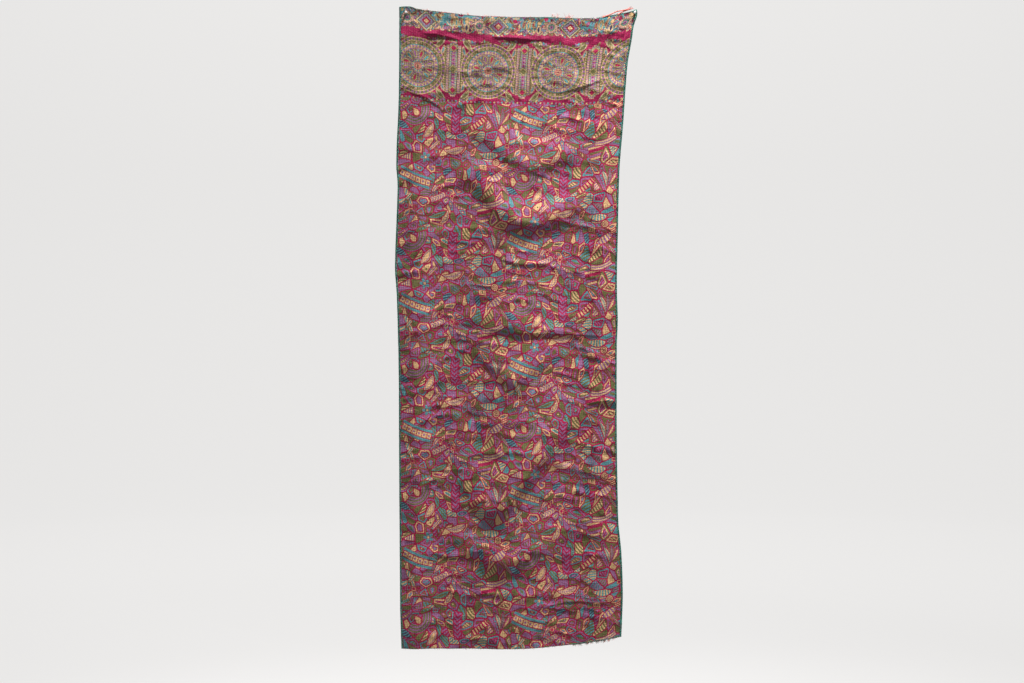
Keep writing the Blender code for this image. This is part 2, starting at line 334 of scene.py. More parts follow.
# %% Reading the tables
def along(table, x):
    """The smooth curve through a table's (x, value) rows, level beyond its ends."""
    rows = np.array(sorted(table))
    xs, values = rows[:, 0], rows[:, 1]
    before = np.maximum(np.arange(len(xs)) - 1, 0)
    after = np.minimum(np.arange(len(xs)) + 1, len(xs) - 1)
    slopes = (values[after] - values[before]) / (xs[after] - xs[before])
    x = np.clip(x, xs[0], xs[-1])
    i = np.clip(np.searchsorted(xs, x, side="right") - 1, 0, len(xs) - 2)
    span = xs[i + 1] - xs[i]
    t = (x - xs[i]) / span
    rise = t * t * (3 - 2 * t)
    start_bend = slopes[i] * span * t * (1 - t) ** 2
    end_bend = slopes[i + 1] * span * t * t * (1 - t)
    return values[i] + (values[i + 1] - values[i]) * rise + start_bend - end_bend


def ease(x):
    """0 below 0, 1 above 1, and a soft S between."""
    x = np.clip(x, 0.0, 1.0)
    return x * x * (3 - 2 * x)


def roll_depth(roll, x, z):
    top_x, hem_x, half, height, start, full = roll
    down = ease((z - CLOTH_TOP) / -CLOTH_LENGTH)
    across = np.abs(x - top_x - (hem_x - top_x) * down) / half
    return height * ease(1 - across) * ease((z - start) / (full - start))


def swag_depth(swag, x, z):
    """A slow slope above the swag's crest and a quick one below it."""
    height, above, below, crest = swag
    place = np.clip((x - crest[0][0]) / (crest[-1][0] - crest[0][0]), 0, 1)
    slope = (along(crest, x + CREST_STEP) - along(crest, x - CREST_STEP)) / (2 * CREST_STEP)
    over = (z - along(crest, x)) / np.hypot(1, slope)
    reach = np.where(over > 0, above, below)
    return height * np.sin(np.pi * place) * np.exp(-((over / reach) ** 2))


mid_height = float(along(STAND_OFF, -0.9))
print("the cloth stands", round(mid_height * 1000, 1), "mm off the wall at mid height")

# %% [markdown]
# ## Creases and pucker
# Two finer things lie on those large forms. A few sharp creases were pressed in when the
# quilt was folded away, or are pulled in by the pins. And the whole cloth is puckered,
# because each running stitch draws the layers together a little. A crease is a ridge along
# a short line. Pucker is uneven noise, longer across the cloth than down it.

# %% Creases
# Height, half width of the ridge, and the line's points.
CREASES = (
    (0.0045, 0.007, ((-0.262, -0.052), (-0.204, -0.060), (-0.152, -0.073))),
    (0.0035, 0.006, ((-0.070, -0.063), (-0.001, -0.068), (0.064, -0.073))),
    (0.0040, 0.007, ((0.170, -1.018), (0.215, -1.008), (0.262, -1.012))),
    (0.0030, 0.006, ((-0.120, -0.815), (0.000, -0.832), (0.140, -0.836), (0.235, -0.842))),
    (0.0030, 0.008, ((-0.290, -0.205), (-0.245, -0.222), (-0.200, -0.252))),
    (0.0025, 0.007, ((0.090, -0.210), (0.150, -0.196), (0.230, -0.168))),
    (0.0028, 0.008, ((-0.060, -0.640), (0.010, -0.655), (0.090, -0.648))),
    (0.0026, 0.008, ((-0.240, -1.400), (-0.170, -1.412), (-0.090, -1.392))),
    (0.0024, 0.007, ((0.060, -1.540), (0.140, -1.528), (0.220, -1.535))),
)
UNDERSIDE = 0.4  # how narrow a crease is below its ridge, as a share of its upper side


def crease_depth(crease, x, z):
    height, half, line = crease
    place = np.clip((x - line[0][0]) / (line[-1][0] - line[0][0]), 0, 1)
    over = (z - along(line, x)) / half
    over = np.where(over < 0, -over / UNDERSIDE, over)
    return height * np.sin(np.pi * place) ** 0.7 * np.exp(-(over**1.5))


# %% Pucker
PUCKER_SEED = 11
NOISE_CELLS = (160, 256)  # across and down, before the noise repeats
NOISE_START = (50, 200)  # the cell that the origin lies in
# Cell across, cell down, height
PUCKERS = (
    (0.110, 0.040, 0.0030),
    (0.060, 0.021, 0.0020),
    (0.030, 0.014, 0.0009),
)


def uneven(x, z, cell_x, cell_z, seed):
    """Smooth noise from -1 to 1 that changes over one cell."""
    heights = np.random.default_rng(seed).uniform(-1, 1, NOISE_CELLS)
    wide, high = NOISE_CELLS
    across, down = x / cell_x + NOISE_START[0], z / cell_z + NOISE_START[1]
    column, row = np.floor(across).astype(int), np.floor(down).astype(int)
    s, t = ease(across - column), ease(down - row)
    corner = [heights[(column + i) % wide, (row + j) % high] for i in (0, 1) for j in (0, 1)]
    near = corner[0] * (1 - t) + corner[1] * t
    far = corner[2] * (1 - t) + corner[3] * t
    return near * (1 - s) + far * s


def pucker_depth(x, z):
    total = 0.0
    for number, (cell_x, cell_z, height) in enumerate(PUCKERS):
        slant = z + 0.25 * np.sin(3.1 * x + number) * x
        rise = 1 - np.abs(uneven(x, slant, cell_x, cell_z, PUCKER_SEED + number))
        total = total + height * (rise * rise - 0.4)
    return total


# %% A place on the cloth
def depth(x, z):
    """How far the cloth's middle layer lies in front of the wall."""
    total = along(STAND_OFF, z) + pucker_depth(x, z)
    for roll in ROLLS:
        total = total + roll_depth(roll, x, z)
    for swag in SWAGS:
        total = total + swag_depth(swag, x, z)
    for crease in CREASES:
        total = total + crease_depth(crease, x, z)
    return total


def middle_layer(u, v):
    """Places of the points u metres from the cloth's left side and v metres from its top."""
    across, down = u / FLAT_WIDTH, v / FLAT_LENGTH
    sag = along(TOP_SAG, across) * (1 - np.clip(down, 0, 1)) ** SAG_FADE
    rise = along(HEM_RISE, across) * np.clip(down, 0, 1) ** HEM_FADE
    z = CLOTH_TOP - FRAY_STRIP_HEIGHT - v - sag + rise
    left, right = along(LEFT_EDGE, z), along(RIGHT_EDGE, z)
    x = left + INSET + across * (right - left - 2 * INSET)
    return np.stack([x, -depth(x, z), z], axis=-1)


def outward(u, v, step=0.0012):
    """The direction that the face looks in at those points."""
    side = middle_layer(u + step, v) - middle_layer(u - step, v)
    fall = middle_layer(u, v + step) - middle_layer(u, v - step)
    normal = np.cross(fall, side)
    return normal / np.linalg.norm(normal, axis=-1, keepdims=True)


def on_cloth(u, v, off=0.0):
    """Those points, moved off the middle layer by that much: positive is towards the viewer."""
    return middle_layer(u, v) + outward(u, v) * np.asarray(off)[..., None]


corner_normal = outward(np.array([0.3]), np.array([0.8]))[0]
print("the face looks along", np.round(corner_normal, 2))

# %% [markdown]
# ## The print
# The face is printed with a dense drawing. A net of small cells, most of them plain and some
# with stripes, dots or a second cell inside, flows over the field, and among them lie leaves,
# arcs, ladders, roundels and small flowers. Crimson lines part them all, and two borders cross
# the top. A picture texture would be the quick way. Here the drawing is part of the mesh: each
# motif is a shape with a place, a turn, a length, a width, a bend and a taper, its outline
# becomes edges of the cloth, and each face carries its own motif's measures as attributes. The
# material then draws the lines and fillings exactly, at any distance. The drawing repeats, as
# a printed cloth does, each column half a repeat lower than the one beside it.

# %% Kinds of shape and of filling
LEAF, BAR, PANEL, POLYGON = 0, 1, 2, 3
PLAIN, INLINE, CORE, LENGTHWISE, RUNGS, CHEVRONS, DOTS, LADDER, VEIN, RINGS, SPOKES = range(11)
STRAIGHT = 10.0  # a bend this wide looks straight

CRIMSON = (168, 12, 72)
OUTLINE = (164, 10, 66)
WINE = (116, 18, 54)
OLIVE = (108, 104, 60)
TAN = (216, 174, 124)
MAUVE = (150, 98, 138)
TEAL = (84, 142, 148)
NAVY = (64, 56, 84)

shapes = []  # a fresh list for the field, and later for the borders


def patch(x, y, turn, a, b, bend=STRAIGHT, taper=0.0, kind=LEAF, style=PLAIN, pitch=0.004,
          ground=OLIVE, detail=TAN, line=OUTLINE, stroke=0.0027):
    """Adds one shape: half length a, half width b, turned by an angle in radians."""
    size = (a, b, max(bend, 1.15 * b), taper, kind)
    stroke = min(stroke, 0.24 * b)
    shapes.append((x, y, turn, *size, style, pitch, ground, detail, line, stroke, -1))


def local(x, y, turn, along_it, beside_it):
    """The place that lies this far along and beside a turned motif."""
    c, s = math.cos(turn), math.sin(turn)
    return x + along_it * c - beside_it * s, y + along_it * s + beside_it * c


# %% Motifs of the field
# The program calls them all alike, so each takes a place, a turn and the dice
GROUNDS = [OLIVE] * 16 + [TAN] * 9 + [MAUVE] * 5 + [TEAL] * 2
PARTNERS = {
    OLIVE: (TAN, MAUVE, TEAL),
    TAN: (MAUVE, CRIMSON, OLIVE, TEAL),
    MAUVE: (TAN, TEAL, OLIVE, CRIMSON),
    TEAL: (TAN, MAUVE, NAVY, OLIVE),
    CRIMSON: (TAN, MAUVE, TEAL),
}
LIGHTNESS = {
    OUTLINE: 0.2,
    CRIMSON: 0.30,
    WINE: 0.2,
    OLIVE: 0.38,
    MAUVE: 0.45,
    TEAL: 0.52,
    NAVY: 0.25,
    TAN: 0.70,
}
EVEN = 0.47  # the lightness that the drawing keeps to, taken over a hand's width


def pair(dice, beside=(), around=EVEN):
    """A ground unlike those beside it, which evens out what lies around, and its partner."""
    fits = [c for c in GROUNDS if c not in beside and (LIGHTNESS[c] - EVEN) * (around - EVEN) < 0.002]
    ground = dice.choice(fits or GROUNDS)
    return {"ground": ground, "detail": dice.choice(PARTNERS[ground])}


# Kind, fillings with their pitches, then the least and most of the half length, the half
# width, the bend and, for a leaf, the taper
BIG_LEAF = (
    LEAF,
    ((PLAIN, 0.01), (CORE, 0.005), (INLINE, 0.005), (VEIN, 0.006), (LENGTHWISE, 0.007), (RUNGS, 0.008)),
    ((0.024, 0.042), (0.008, 0.014), (0.04, 0.11), (0, 0.5)),
)
BAND = (
    BAR,
    ((LENGTHWISE, 0.0065), (RUNGS, 0.009), (DOTS, 0.009), (CHEVRONS, 0.008), (PLAIN, 0.01)),
    ((0.022, 0.040), (0.0065, 0.0110), (0.05, 0.25)),
)
SMALL_LEAF = (
    LEAF,
    ((PLAIN, 0.01), (CORE, 0.0030), (CORE, 0.0035), (RUNGS, 0.006), (VEIN, 0.005)),
    ((0.010, 0.020), (0.0045, 0.0075), (0.02, 0.08), (0, 0.6)),
)
SMALL_BAR = (
    BAR,
    ((PLAIN, 0.01), (RUNGS, 0.0060), (LENGTHWISE, 0.0050), (CORE, 0.003)),
    ((0.007, 0.018), (0.0042, 0.0068), (0.04, 0.3)),
)


def scrap(x, y, turn, manner, dice):
    """One leaf or bar, with its filling and its sizes picked from its table."""
    kind, fillings, ranges = manner
    style, pitch = dice.choice(fillings)
    sizes = [dice.uniform(*limits) for limits in ranges]
    patch(x, y, turn, *sizes, kind=kind, style=style, pitch=pitch, **pair(dice))


def rainbow(x, y, turn, dice):
    """A bent arch of stripes with a drop beneath it."""
    size = dice.uniform(0.9, 1.2)
    patch(*local(x, y, turn, 0, 0.018 * size), turn, 0.034 * size, 0.012 * size, 0.026 * size,
          kind=BAR, style=LENGTHWISE, pitch=0.0078, **pair(dice, (CRIMSON, TAN)))
    patch(x, y, turn + 1.57, 0.013 * size, 0.009 * size, taper=0.5,
          style=CORE, pitch=0.0035, **pair(dice))


def spray(x, y, turn, dice):
    """Four narrow leaves from one point."""
    for number in range(4):
        angle = turn + (number - 1.5) * 0.42
        place = local(x, y, angle, 0.026, 0)
        style = dice.choice((PLAIN, VEIN, CORE))
        patch(*place, angle, 0.027, 0.0066, 0.07, 0.3, style=style, pitch=0.0032, **pair(dice))


def ladder(x, y, turn, dice):
    """A ladder of dotted squares between two rails."""
    for side in (-1, 1):
        place = local(x, y, turn, 0, side * 0.0125)
        patch(*place, turn, 0.046, 0.0046, 0.30, kind=BAR, ground=dice.choice((OLIVE, MAUVE, TEAL)))
    ground, detail = dice.choice(((TAN, MAUVE), (MAUVE, TAN), (TEAL, TAN)))
    patch(x, y, turn, 0.044, 0.0088, 0.30,
          kind=BAR, style=LADDER, pitch=0.0148, ground=ground, detail=detail)


def squares(x, y, turn, dice):
    """A row of small squares with an eye in each."""
    for number, ground in enumerate((TAN, MAUVE, TEAL, TAN, OLIVE)):
        place = local(x, y, turn, (number - 2) * 0.0135, 0.002 * (number % 2))
        patch(*place, turn, 0.0066, 0.0066,
              kind=BAR, style=CORE, pitch=0.0034, ground=ground, detail=CRIMSON)


def roundel(x, y, turn, dice):
    size = dice.uniform(0.011, 0.018)
    patch(x, y, turn, size, size * 0.999, style=dice.choice((RINGS, SPOKES, CORE)), pitch=size * 0.30,
          ground=dice.choice((TAN, MAUVE, TEAL)), detail=dice.choice((CRIMSON, WINE)))


def flower(x, y, turn, dice):
    """Five round petals and a heart."""
    ground = dice.choice((TEAL, TAN, MAUVE))
    for number in range(5):
        angle = turn + number * math.tau / 5
        patch(*local(x, y, angle, 0.0085, 0), angle, 0.0078, 0.0056, ground=ground)
    patch(x, y, turn, 0.0042, 0.0041, ground=CRIMSON if ground != TEAL else TAN)


def comb(x, y, turn, dice):
    """Narrow bars side by side, each a little shorter than the last."""
    for number, ground in enumerate((TAN, CRIMSON, OLIVE, MAUVE, TAN)):
        place = local(x, y, turn, -0.002 * number, (number - 2) * 0.0072)
        patch(*place, turn, 0.024 - 0.0026 * number, 0.0034, 0.2, kind=BAR, ground=ground)


def teardrop(x, y, turn, dice):
    """A long drop with a drop inside it, and a stalk."""
    stalk = local(x, y, turn, -0.034, 0.004)
    patch(*stalk, turn, 0.024, 0.0042, 0.05, kind=BAR, ground=dice.choice((TAN, MAUVE)))
    patch(x, y, turn, 0.026, 0.0125, 0.09, 0.55, style=CORE, pitch=0.0042, ground=OLIVE, detail=TAN)
    patch(*local(x, y, turn, 0.006, 0), turn, 0.0042, 0.0032, ground=MAUVE)


def chevron_bar(x, y, turn, dice):
    patch(x, y, turn, 0.036, 0.0125, 0.16, kind=BAR, style=CHEVRONS, pitch=0.011,
          ground=dice.choice((OLIVE, MAUVE)), detail=dice.choice((TAN, TEAL, CRIMSON)))


def striped_leaf(x, y, turn, dice):
    patch(x, y, turn, 0.030, 0.012, 0.08, style=RUNGS, pitch=0.0088, ground=dice.choice((OLIVE, MAUVE)))


def crescent(x, y, turn, dice):
    style = dice.choice((LENGTHWISE, INLINE))
    patch(x, y, turn, 0.030, 0.0105, 0.024, style=style, pitch=0.0062, **pair(dice))


print("field motifs ready")

# %% The field's repeat
REPEAT_WIDTH = FLAT_WIDTH / 2
REPEAT_HEIGHT = 0.330
PRINT_SEED = 23
FEATURES = (
    rainbow, spray, ladder, squares, roundel, flower, comb, teardrop, chevron_bar, striped_leaf, crescent,
)
SCRAPS = (SMALL_LEAF, SMALL_BAR, BIG_LEAF, BAND)


def scatter(columns, rows, loose, dice):
    """Places spread evenly over one repeat, each moved a little, in a mixed order."""
    places = [
        (
            (i + 0.5 + loose * dice.uniform(-0.5, 0.5)) * REPEAT_WIDTH / columns,
            (j + 0.5 + loose * dice.uniform(-0.5, 0.5)) * REPEAT_HEIGHT / rows,
        )
        for i in range(columns)
        for j in range(rows)
    ]
    dice.shuffle(places)
    return places


# %% The cells of the field
CELL_COLUMNS, CELL_ROWS = 10, 24
CELL_JITTER = 0.95
LEFT_OUT = 0.10  # share of the places left out, so that some cells grow wide
NEAR = 0.075
HALF_LINE = 0.0015  # half the width of the crimson line between two cells
CUT_CORNER = 0.0013
LONGEST_EDGE = 0.012
FLOW_TURN = -0.49  # the cells lie in rows that climb to the right
# Waves of the flow: how many across and down one repeat, how far it shifts sideways and down
WAVES = (
    (1, 1, 0.011, -0.007),
    (0, 2, 0.010, 0.006),
    (2, -1, -0.004, 0.008),
    (1, -2, 0.005, 0.005),
    (3, 1, 0.003, -0.005),
)
LEAST_AREA = 2e-5  # of a cell that is still drawn
INNER_INSETS = (0.0026, 0.0034)  # from a cell's own outline to the one inside it
INMOST_INSET = 0.0050
NESTED = 0.6  # share of the wide cells that hold another
polygons = []


def flow(x, y):
    """The drawing's flow: a smooth shift that repeats with the print and bends its cells."""
    across = x / REPEAT_WIDTH
    down = y / REPEAT_HEIGHT - across / 2
    turns = [(math.tau * (wide * across + high * down), *shift) for wide, high, *shift in WAVES]
    shift_x = sum(sideways * math.sin(turn + i) for i, (turn, sideways, _) in enumerate(turns))
    shift_y = sum(downwards * math.cos(turn - i) for i, (turn, _, downwards) in enumerate(turns))
    return x + shift_x, y + shift_y


def cell_middles(dice):
    """Uneven places, one for each cell, and their numbered copies in the repeats around."""
    places = []
    for i in range(CELL_COLUMNS):
        for j in range(CELL_ROWS):
            across = (i + 0.5 + CELL_JITTER * dice.uniform(-0.5, 0.5)) / CELL_COLUMNS
            down = (j + 0.5 * (i % 2) + CELL_JITTER * dice.uniform(-0.5, 0.5)) / CELL_ROWS
            if dice.random() > LEFT_OUT:
                places.append((across * REPEAT_WIDTH, (down - across / 2) * REPEAT_HEIGHT))
    moves = [(i * REPEAT_WIDTH, (i / 2 + j) * REPEAT_HEIGHT) for i in range(-1, 2) for j in range(-2, 3)]
    numbered = enumerate(places)
    return places, [((x + dx, y + dy), number) for number, (x, y) in numbered for dx, dy in moves]


def clipped(ring, middle, normal):
    """The part of a convex ring behind a line."""
    sides = [(x - middle[0]) * normal[0] + (y - middle[1]) * normal[1] for x, y in ring]
    kept = []
    for (a, da), (b, db) in zip(zip(ring, sides), zip(ring[1:] + ring[:1], sides[1:] + sides[:1])):
        if da <= 0:
            kept.append(a)
        if da * db < 0:
            t = da / (da - db)
            kept.append((a[0] + (b[0] - a[0]) * t, a[1] + (b[1] - a[1]) * t))
    return kept


def cell_ring(place, others, inset):
    """The ring of points nearer to this place than to the others, drawn in by an inset."""
    x, y = place
    ring = [(x - NEAR, y - NEAR), (x + NEAR, y - NEAR), (x + NEAR, y + NEAR), (x - NEAR, y + NEAR)]
    for far, other, _ in others:
        if ring and 1e-9 < far < NEAR:
            normal = ((other[0] - x) / far, (other[1] - y) / far)
            reach = far / 2 - inset
            ring = clipped(ring, (x + normal[0] * reach, y + normal[1] * reach), normal)
    return ring


def softened(ring):
    """The ring with its corners cut, its long edges parted, and bent by the flow."""
    soft = []
    for here, after in zip(ring, ring[1:] + ring[:1]):
        long = math.dist(here, after)
        if long < 2.2 * CUT_CORNER:
            soft.append(((here[0] + after[0]) / 2, (here[1] + after[1]) / 2))
            continue
        count = max(1, math.ceil((long - 2 * CUT_CORNER) / LONGEST_EDGE))
        for number in range(count + 1):
            t = (CUT_CORNER + (long - 2 * CUT_CORNER) * number / count) / long
            soft.append((here[0] + (after[0] - here[0]) * t, here[1] + (after[1] - here[1]) * t))
    return [flow(x, y) for x, y in soft]


def area_of(ring):
    return abs(sum(a[0] * b[1] - b[0] * a[1] for a, b in zip(ring, ring[1:] + ring[:1]))) / 2


def polygon_patch(ring, middle, turn, bend, style, pitch, ground, detail):
    """Adds a shape with a drawn outline and no line of its own."""
    c, s = math.cos(turn), math.sin(turn)
    away = [(x - middle[0], y - middle[1]) for x, y in ring]
    own = [(dx * c + dy * s, dy * c - dx * s) for dx, dy in away]
    reach = max(math.hypot(p, q) for p, q in own) / 2
    size = (reach, reach, bend, 0.0, POLYGON)
    shapes.append((*middle, turn, *size, style, pitch, ground, detail, ground, 0.001, len(polygons)))
    polygons.append(np.array(own))


CELL_FILLINGS = (
    (PLAIN, 0.0060),
    (PLAIN, 0.0060),
    (PLAIN, 0.0060),
    (LENGTHWISE, 0.0064),
    (LENGTHWISE, 0.0078),
    (RUNGS, 0.0076),
    (DOTS, 0.0088),
)


def wide_enough(ring):
    return len(ring) > 2 and area_of(ring) > LEAST_AREA


def fill_cell(place, others, beside, around, dice):
    """One cell, plain, striped, dotted or with a second cell inside. It gives its ground."""
    ring = cell_ring(place, others, HALF_LINE)
    if not wide_enough(ring):
        return CRIMSON
    middle = flow(*place)
    turn = FLOW_TURN + dice.gauss(0, 0.35) + dice.choice((0, 0, math.pi, math.pi, math.pi / 2))
    bend = dice.uniform(0.025, 0.09)
    ground, detail = pair(dice, beside, around).values()
    style, pitch = dice.choice(CELL_FILLINGS)
    inner = cell_ring(place, others, HALF_LINE + dice.choice(INNER_INSETS))
    inmost = cell_ring(place, others, HALF_LINE + INMOST_INSET)
    nested = wide_enough(inmost) and dice.random() < NESTED
    if nested:
        style = PLAIN
    polygon_patch(softened(ring), middle, turn, bend, style, pitch, ground, detail)
    if nested:
        contour = dice.choice((OUTLINE, CRIMSON, CRIMSON, detail))
        heart = pair(dice, (ground, contour, CRIMSON), around).values()
        style, pitch = dice.choice(CELL_FILLINGS)
        polygon_patch(softened(inner), middle, turn, bend, PLAIN, pitch, contour, contour)
        polygon_patch(softened(inmost), middle, turn, bend, style, pitch, *heart)
    return ground


def draw_cells(dice):
    """Every cell, each unlike the nearest ones drawn before it."""
    places, copies = cell_middles(dice)
    grounds = {}
    for number, place in enumerate(places):
        others = sorted((math.dist(place, other), other, which) for other, which in copies)
        others = [other for other in others if other[0] < NEAR]
        known = [grounds[which] for _, _, which in others[1:8] if which in grounds]
        around = sum((LIGHTNESS[ground] for ground in known), EVEN) / (len(known) + 1)
        grounds[number] = fill_cell(place, others, set(known[:3]), around, dice)


# %% The field's drawing
def draw_field():
    dice = random.Random(PRINT_SEED)
    draw_cells(dice)
    for (x, y), draw in zip(scatter(3, 4, 0.6, dice), dice.sample(FEATURES, len(FEATURES)) + [squares]):
        draw(x, y, FLOW_TURN + dice.gauss(0, 0.5), dice)
    for x, y in scatter(3, 4, 1.0, dice):
        manner = dice.choice(SCRAPS)
        scrap(x, y, FLOW_TURN + dice.gauss(0, 0.4), manner, dice)


draw_field()
field_shapes = shapes
print("one repeat holds", len(field_shapes), "shapes")

# %% [markdown]
# ## The two borders
# A narrow teal band runs along the top edge, with diamonds, ovals and small fans. A plain
# crimson stripe parts it from a wide border of big wheels, with columns of chevrons and
# dotted squares between them, and a thin crimson line closes the border off.

# %% Where the borders lie, down from the top edge
BAND_END = 0.047
STRIPE_RED = (151, 8, 70)
STRIPE_END = 0.069
BORDER_END = 0.228
LINE_END = 0.236
BORDER_PITCH = 0.191
FIRST_DIAMOND = 0.067
CORN = (192, 158, 113)


def panel(top, bottom, colour):
    middle, half = (top + bottom) / 2, (bottom - top) / 2
    patch(FLAT_WIDTH / 2, middle, 0, FLAT_WIDTH, half, kind=PANEL, ground=colour)


def inked(style, pitch, ground, detail, line, stroke):
    """The last arguments of a patch, in one."""
    colours = {"ground": ground, "detail": detail, "line": line}
    return {"style": style, "pitch": pitch, **colours, "stroke": stroke}


def disc(x, y, radius, *ink):
    patch(x, y, 0, radius, radius * 0.999, **inked(*ink))


def bead(x, y, radius, ground, line, heart=None):
    """A small round spot, with or without a dark heart."""
    style = CORE if heart else PLAIN
    disc(x, y, radius, style, radius * 0.55, ground, heart or ground, line, radius * 0.2)


def fan(x, y, radius):
    """A scalloped wheel that hangs over the band's lower edge."""
    disc(x, y, radius, SPOKES, radius * 0.16, TAN, MAUVE, OLIVE, 0.0012)
    disc(x, y, radius * 0.66, RINGS, radius * 0.18, TEAL, OLIVE, TAN, 0.0012)
    disc(x, y, radius * 0.30, CORE, radius * 0.12, CRIMSON, NAVY, MAUVE, 0.0010)


# Share of the outermost diamond's size, ground, line
LOZENGES = (
    (1.0, MAUVE, OLIVE),
    (0.92, TEAL, TAN),
    (0.76, MAUVE, OLIVE),
    (0.54, CRIMSON, TEAL),
    (0.32, TAN, WINE),
)


def diamond(x, y, half):
    """Diamonds one inside another, with an eye."""
    for share, ground, line in LOZENGES:
        size = half * share
        patch(x, y, math.pi / 4, size, size * 0.94, kind=BAR, ground=ground, line=line, stroke=0.0018)
    bead(x, y, 0.0030, WINE, TAN, OLIVE)


def string_of_beads(x, y, radius, first, last, count, size):
    """Beads along an arc."""
    for number in range(count):
        angle = first + (last - first) * number / (count - 1)
        bead(*local(x, y, angle, radius, 0), size, (TEAL, TAN, MAUVE, CRIMSON)[number % 4], OLIVE)


# %% The narrow band
DISC_COUNT, SCRAP_COUNT = 36, 360
OVAL_FROM_DIAMOND = 0.0800
BAND_FILLINGS = ((PLAIN, 0.01), (CORE, 0.0022), (RUNGS, 0.0045), (LENGTHWISE, 0.004))
# Leaves in pairs: how far to the side and down, lean, half length, half width, and the ink
DIAMOND_LEAVES = (
    (0.031, 0.012, 0.8, 0.014, 0.0040, (CORE, 0.002, TAN, WINE, OLIVE, 0.001)),
    (0.029, 0.038, -0.8, 0.013, 0.0042, (RUNGS, 0.004, CRIMSON, TEAL, TAN, 0.001)),
)
OVAL_LEAVES = (
    (0.0125, 0.020, 0, 0.0130, 0.0044, (CORE, 0.0024, TAN, CRIMSON, OLIVE, 0.0012)),
    (0.0200, 0.018, 0, 0.0125, 0.0032, (PLAIN, 0.004, TEAL, TAN, MAUVE, 0.0010)),
)


def leaf_pairs(x, upright, leaves):
    for side in (-1, 1):
        for beside, down, lean, long, wide, ink in leaves:
            patch(x + side * beside, down, upright + side * lean, long, wide, 0.03, **inked(*ink))


def draw_band(dice):
    panel(-0.01, BAND_END - 0.003, TEAL)
    for number in range(DISC_COUNT):
        place = FLAT_WIDTH * (number + 0.5) / DISC_COUNT
        ground, detail = (MAUVE, TEAL, OLIVE)[number % 3], (TAN, CRIMSON)[number % 2]
        disc(place, BAND_END - 0.006, 0.0088, RINGS, 0.004, ground, detail, OLIVE, 0.0013)
    for _ in range(SCRAP_COUNT):
        x, y = dice.uniform(0, FLAT_WIDTH), dice.uniform(0.001, BAND_END - 0.004)
        turn = dice.choice((0.0, 0.8, 1.57, 2.4)) + dice.uniform(-0.2, 0.2)
        filling = dice.choice(BAND_FILLINGS)
        ranges = ((0.005, 0.012), (0.0026, 0.0048), (0.01, 0.06), (0, 0.4))
        sizes = [dice.uniform(*limits) for limits in ranges]
        kind = dice.choice((LEAF, BAR))
        ground = dice.choice((TEAL, TEAL, TEAL, MAUVE, TAN, OLIVE, CRIMSON, WINE))
        detail, line = dice.choice((MAUVE, TAN, NAVY)), dice.choice((OLIVE, OLIVE, NAVY, TAN, CRIMSON))
        patch(x, y, turn, *sizes, kind, *filling, ground, detail, line, 0.0013)
    for number in range(-1, 4):
        x = FIRST_DIAMOND + number * BORDER_PITCH
        oval = x + OVAL_FROM_DIAMOND
        fan(x - 0.050, 0.026, 0.0165)
        leaf_pairs(x, 0, DIAMOND_LEAVES)
        diamond(x, 0.0265, 0.0212)
        leaf_pairs(oval, math.pi / 2, OVAL_LEAVES)
        seed = inked(CORE, 0.0040, OLIVE, TEAL, TAN, 0.0020)
        patch(oval, 0.0225, math.pi / 2, 0.0165, 0.0068, 0.4, **seed)
        string_of_beads(oval - 0.004, 0.022, 0.0270, 0.35, 2.8, 8, 0.0034)
        bead(oval + 0.0275, 0.016, 0.0062, TAN, OLIVE)
        drop = inked(CORE, 0.0026, TEAL, NAVY, TAN, 0.0016)
        patch(oval + 0.0275, 0.034, math.pi / 2, 0.0125, 0.0064, **drop)
        string_of_beads(x, 0.0235, 0.0300, 0.9, 2.25, 6, 0.0026)


# %% The wide border
# Share of the wheel's radius, filling, its pitch, ground, detail, line, stroke
RIMS = (
    (1.00, SPOKES, 0.0056, MAUVE, OLIVE, CORN, 0.0024),
    (0.885, PLAIN, 0.0100, OLIVE, OLIVE, CORN, 0.0022),
    (0.74, SPOKES, 0.0050, MAUVE, CORN, TEAL, 0.0020),
    (0.64, RINGS, 0.0052, OLIVE, MAUVE, CORN, 0.0022),
)
HUBS = (
    (0.225, SPOKES, 0.0042, CORN, TEAL, OLIVE, 0.0014),
    (0.150, RINGS, 0.0040, CRIMSON, CORN, MAUVE, 0.0012),
)
BEADS_IN_RIM, PETALS = 34, 12


def wheel(x, y, radius):
    """A big wheel: rims of small blocks, a ring of beads, two rounds of petals and a heart."""
    for share, *ink in RIMS:
        disc(x, y, radius * share, *ink)
    for number in range(BEADS_IN_RIM):
        place, odd = local(x, y, number * math.tau / BEADS_IN_RIM, radius * 0.80, 0), number % 2
        bead(*place, 0.0036, (CORN, MAUVE)[odd], (OLIVE, CORN)[odd], (WINE, CRIMSON)[odd])
    for number in range(PETALS):
        angle = (number + 0.5) * math.tau / PETALS
        petal = inked(CORE, 0.0032, CORN, (CRIMSON, TEAL, MAUVE)[number % 3], OLIVE, 0.0013)
        patch(*local(x, y, angle, radius * 0.42, 0), angle, radius * 0.185, 0.0066, taper=0.45, **petal)
        bead(*local(x, y, angle + math.tau / 24, radius * 0.545, 0), 0.0030, TEAL, CORN)
    for share, *ink in HUBS:
        disc(x, y, radius * share, *ink)
    bead(x, y, 0.0040, CORN, WINE, WINE)


# Strips of a column: how far to the side, half width, then filling, pitch, ground, detail, line
STRIPS = (
    (0.0235, 0.0036, DOTS, 0.0062, OLIVE, CORN, OLIVE),
    (0.0155, 0.0046, CHEVRONS, 0.0066, CORN, MAUVE, OLIVE),
    (0.0000, 0.0064, LADDER, 0.0100, MAUVE, CRIMSON, CORN),
    (0.0078, 0.0026, RUNGS, 0.0052, CORN, TEAL, OLIVE),
)
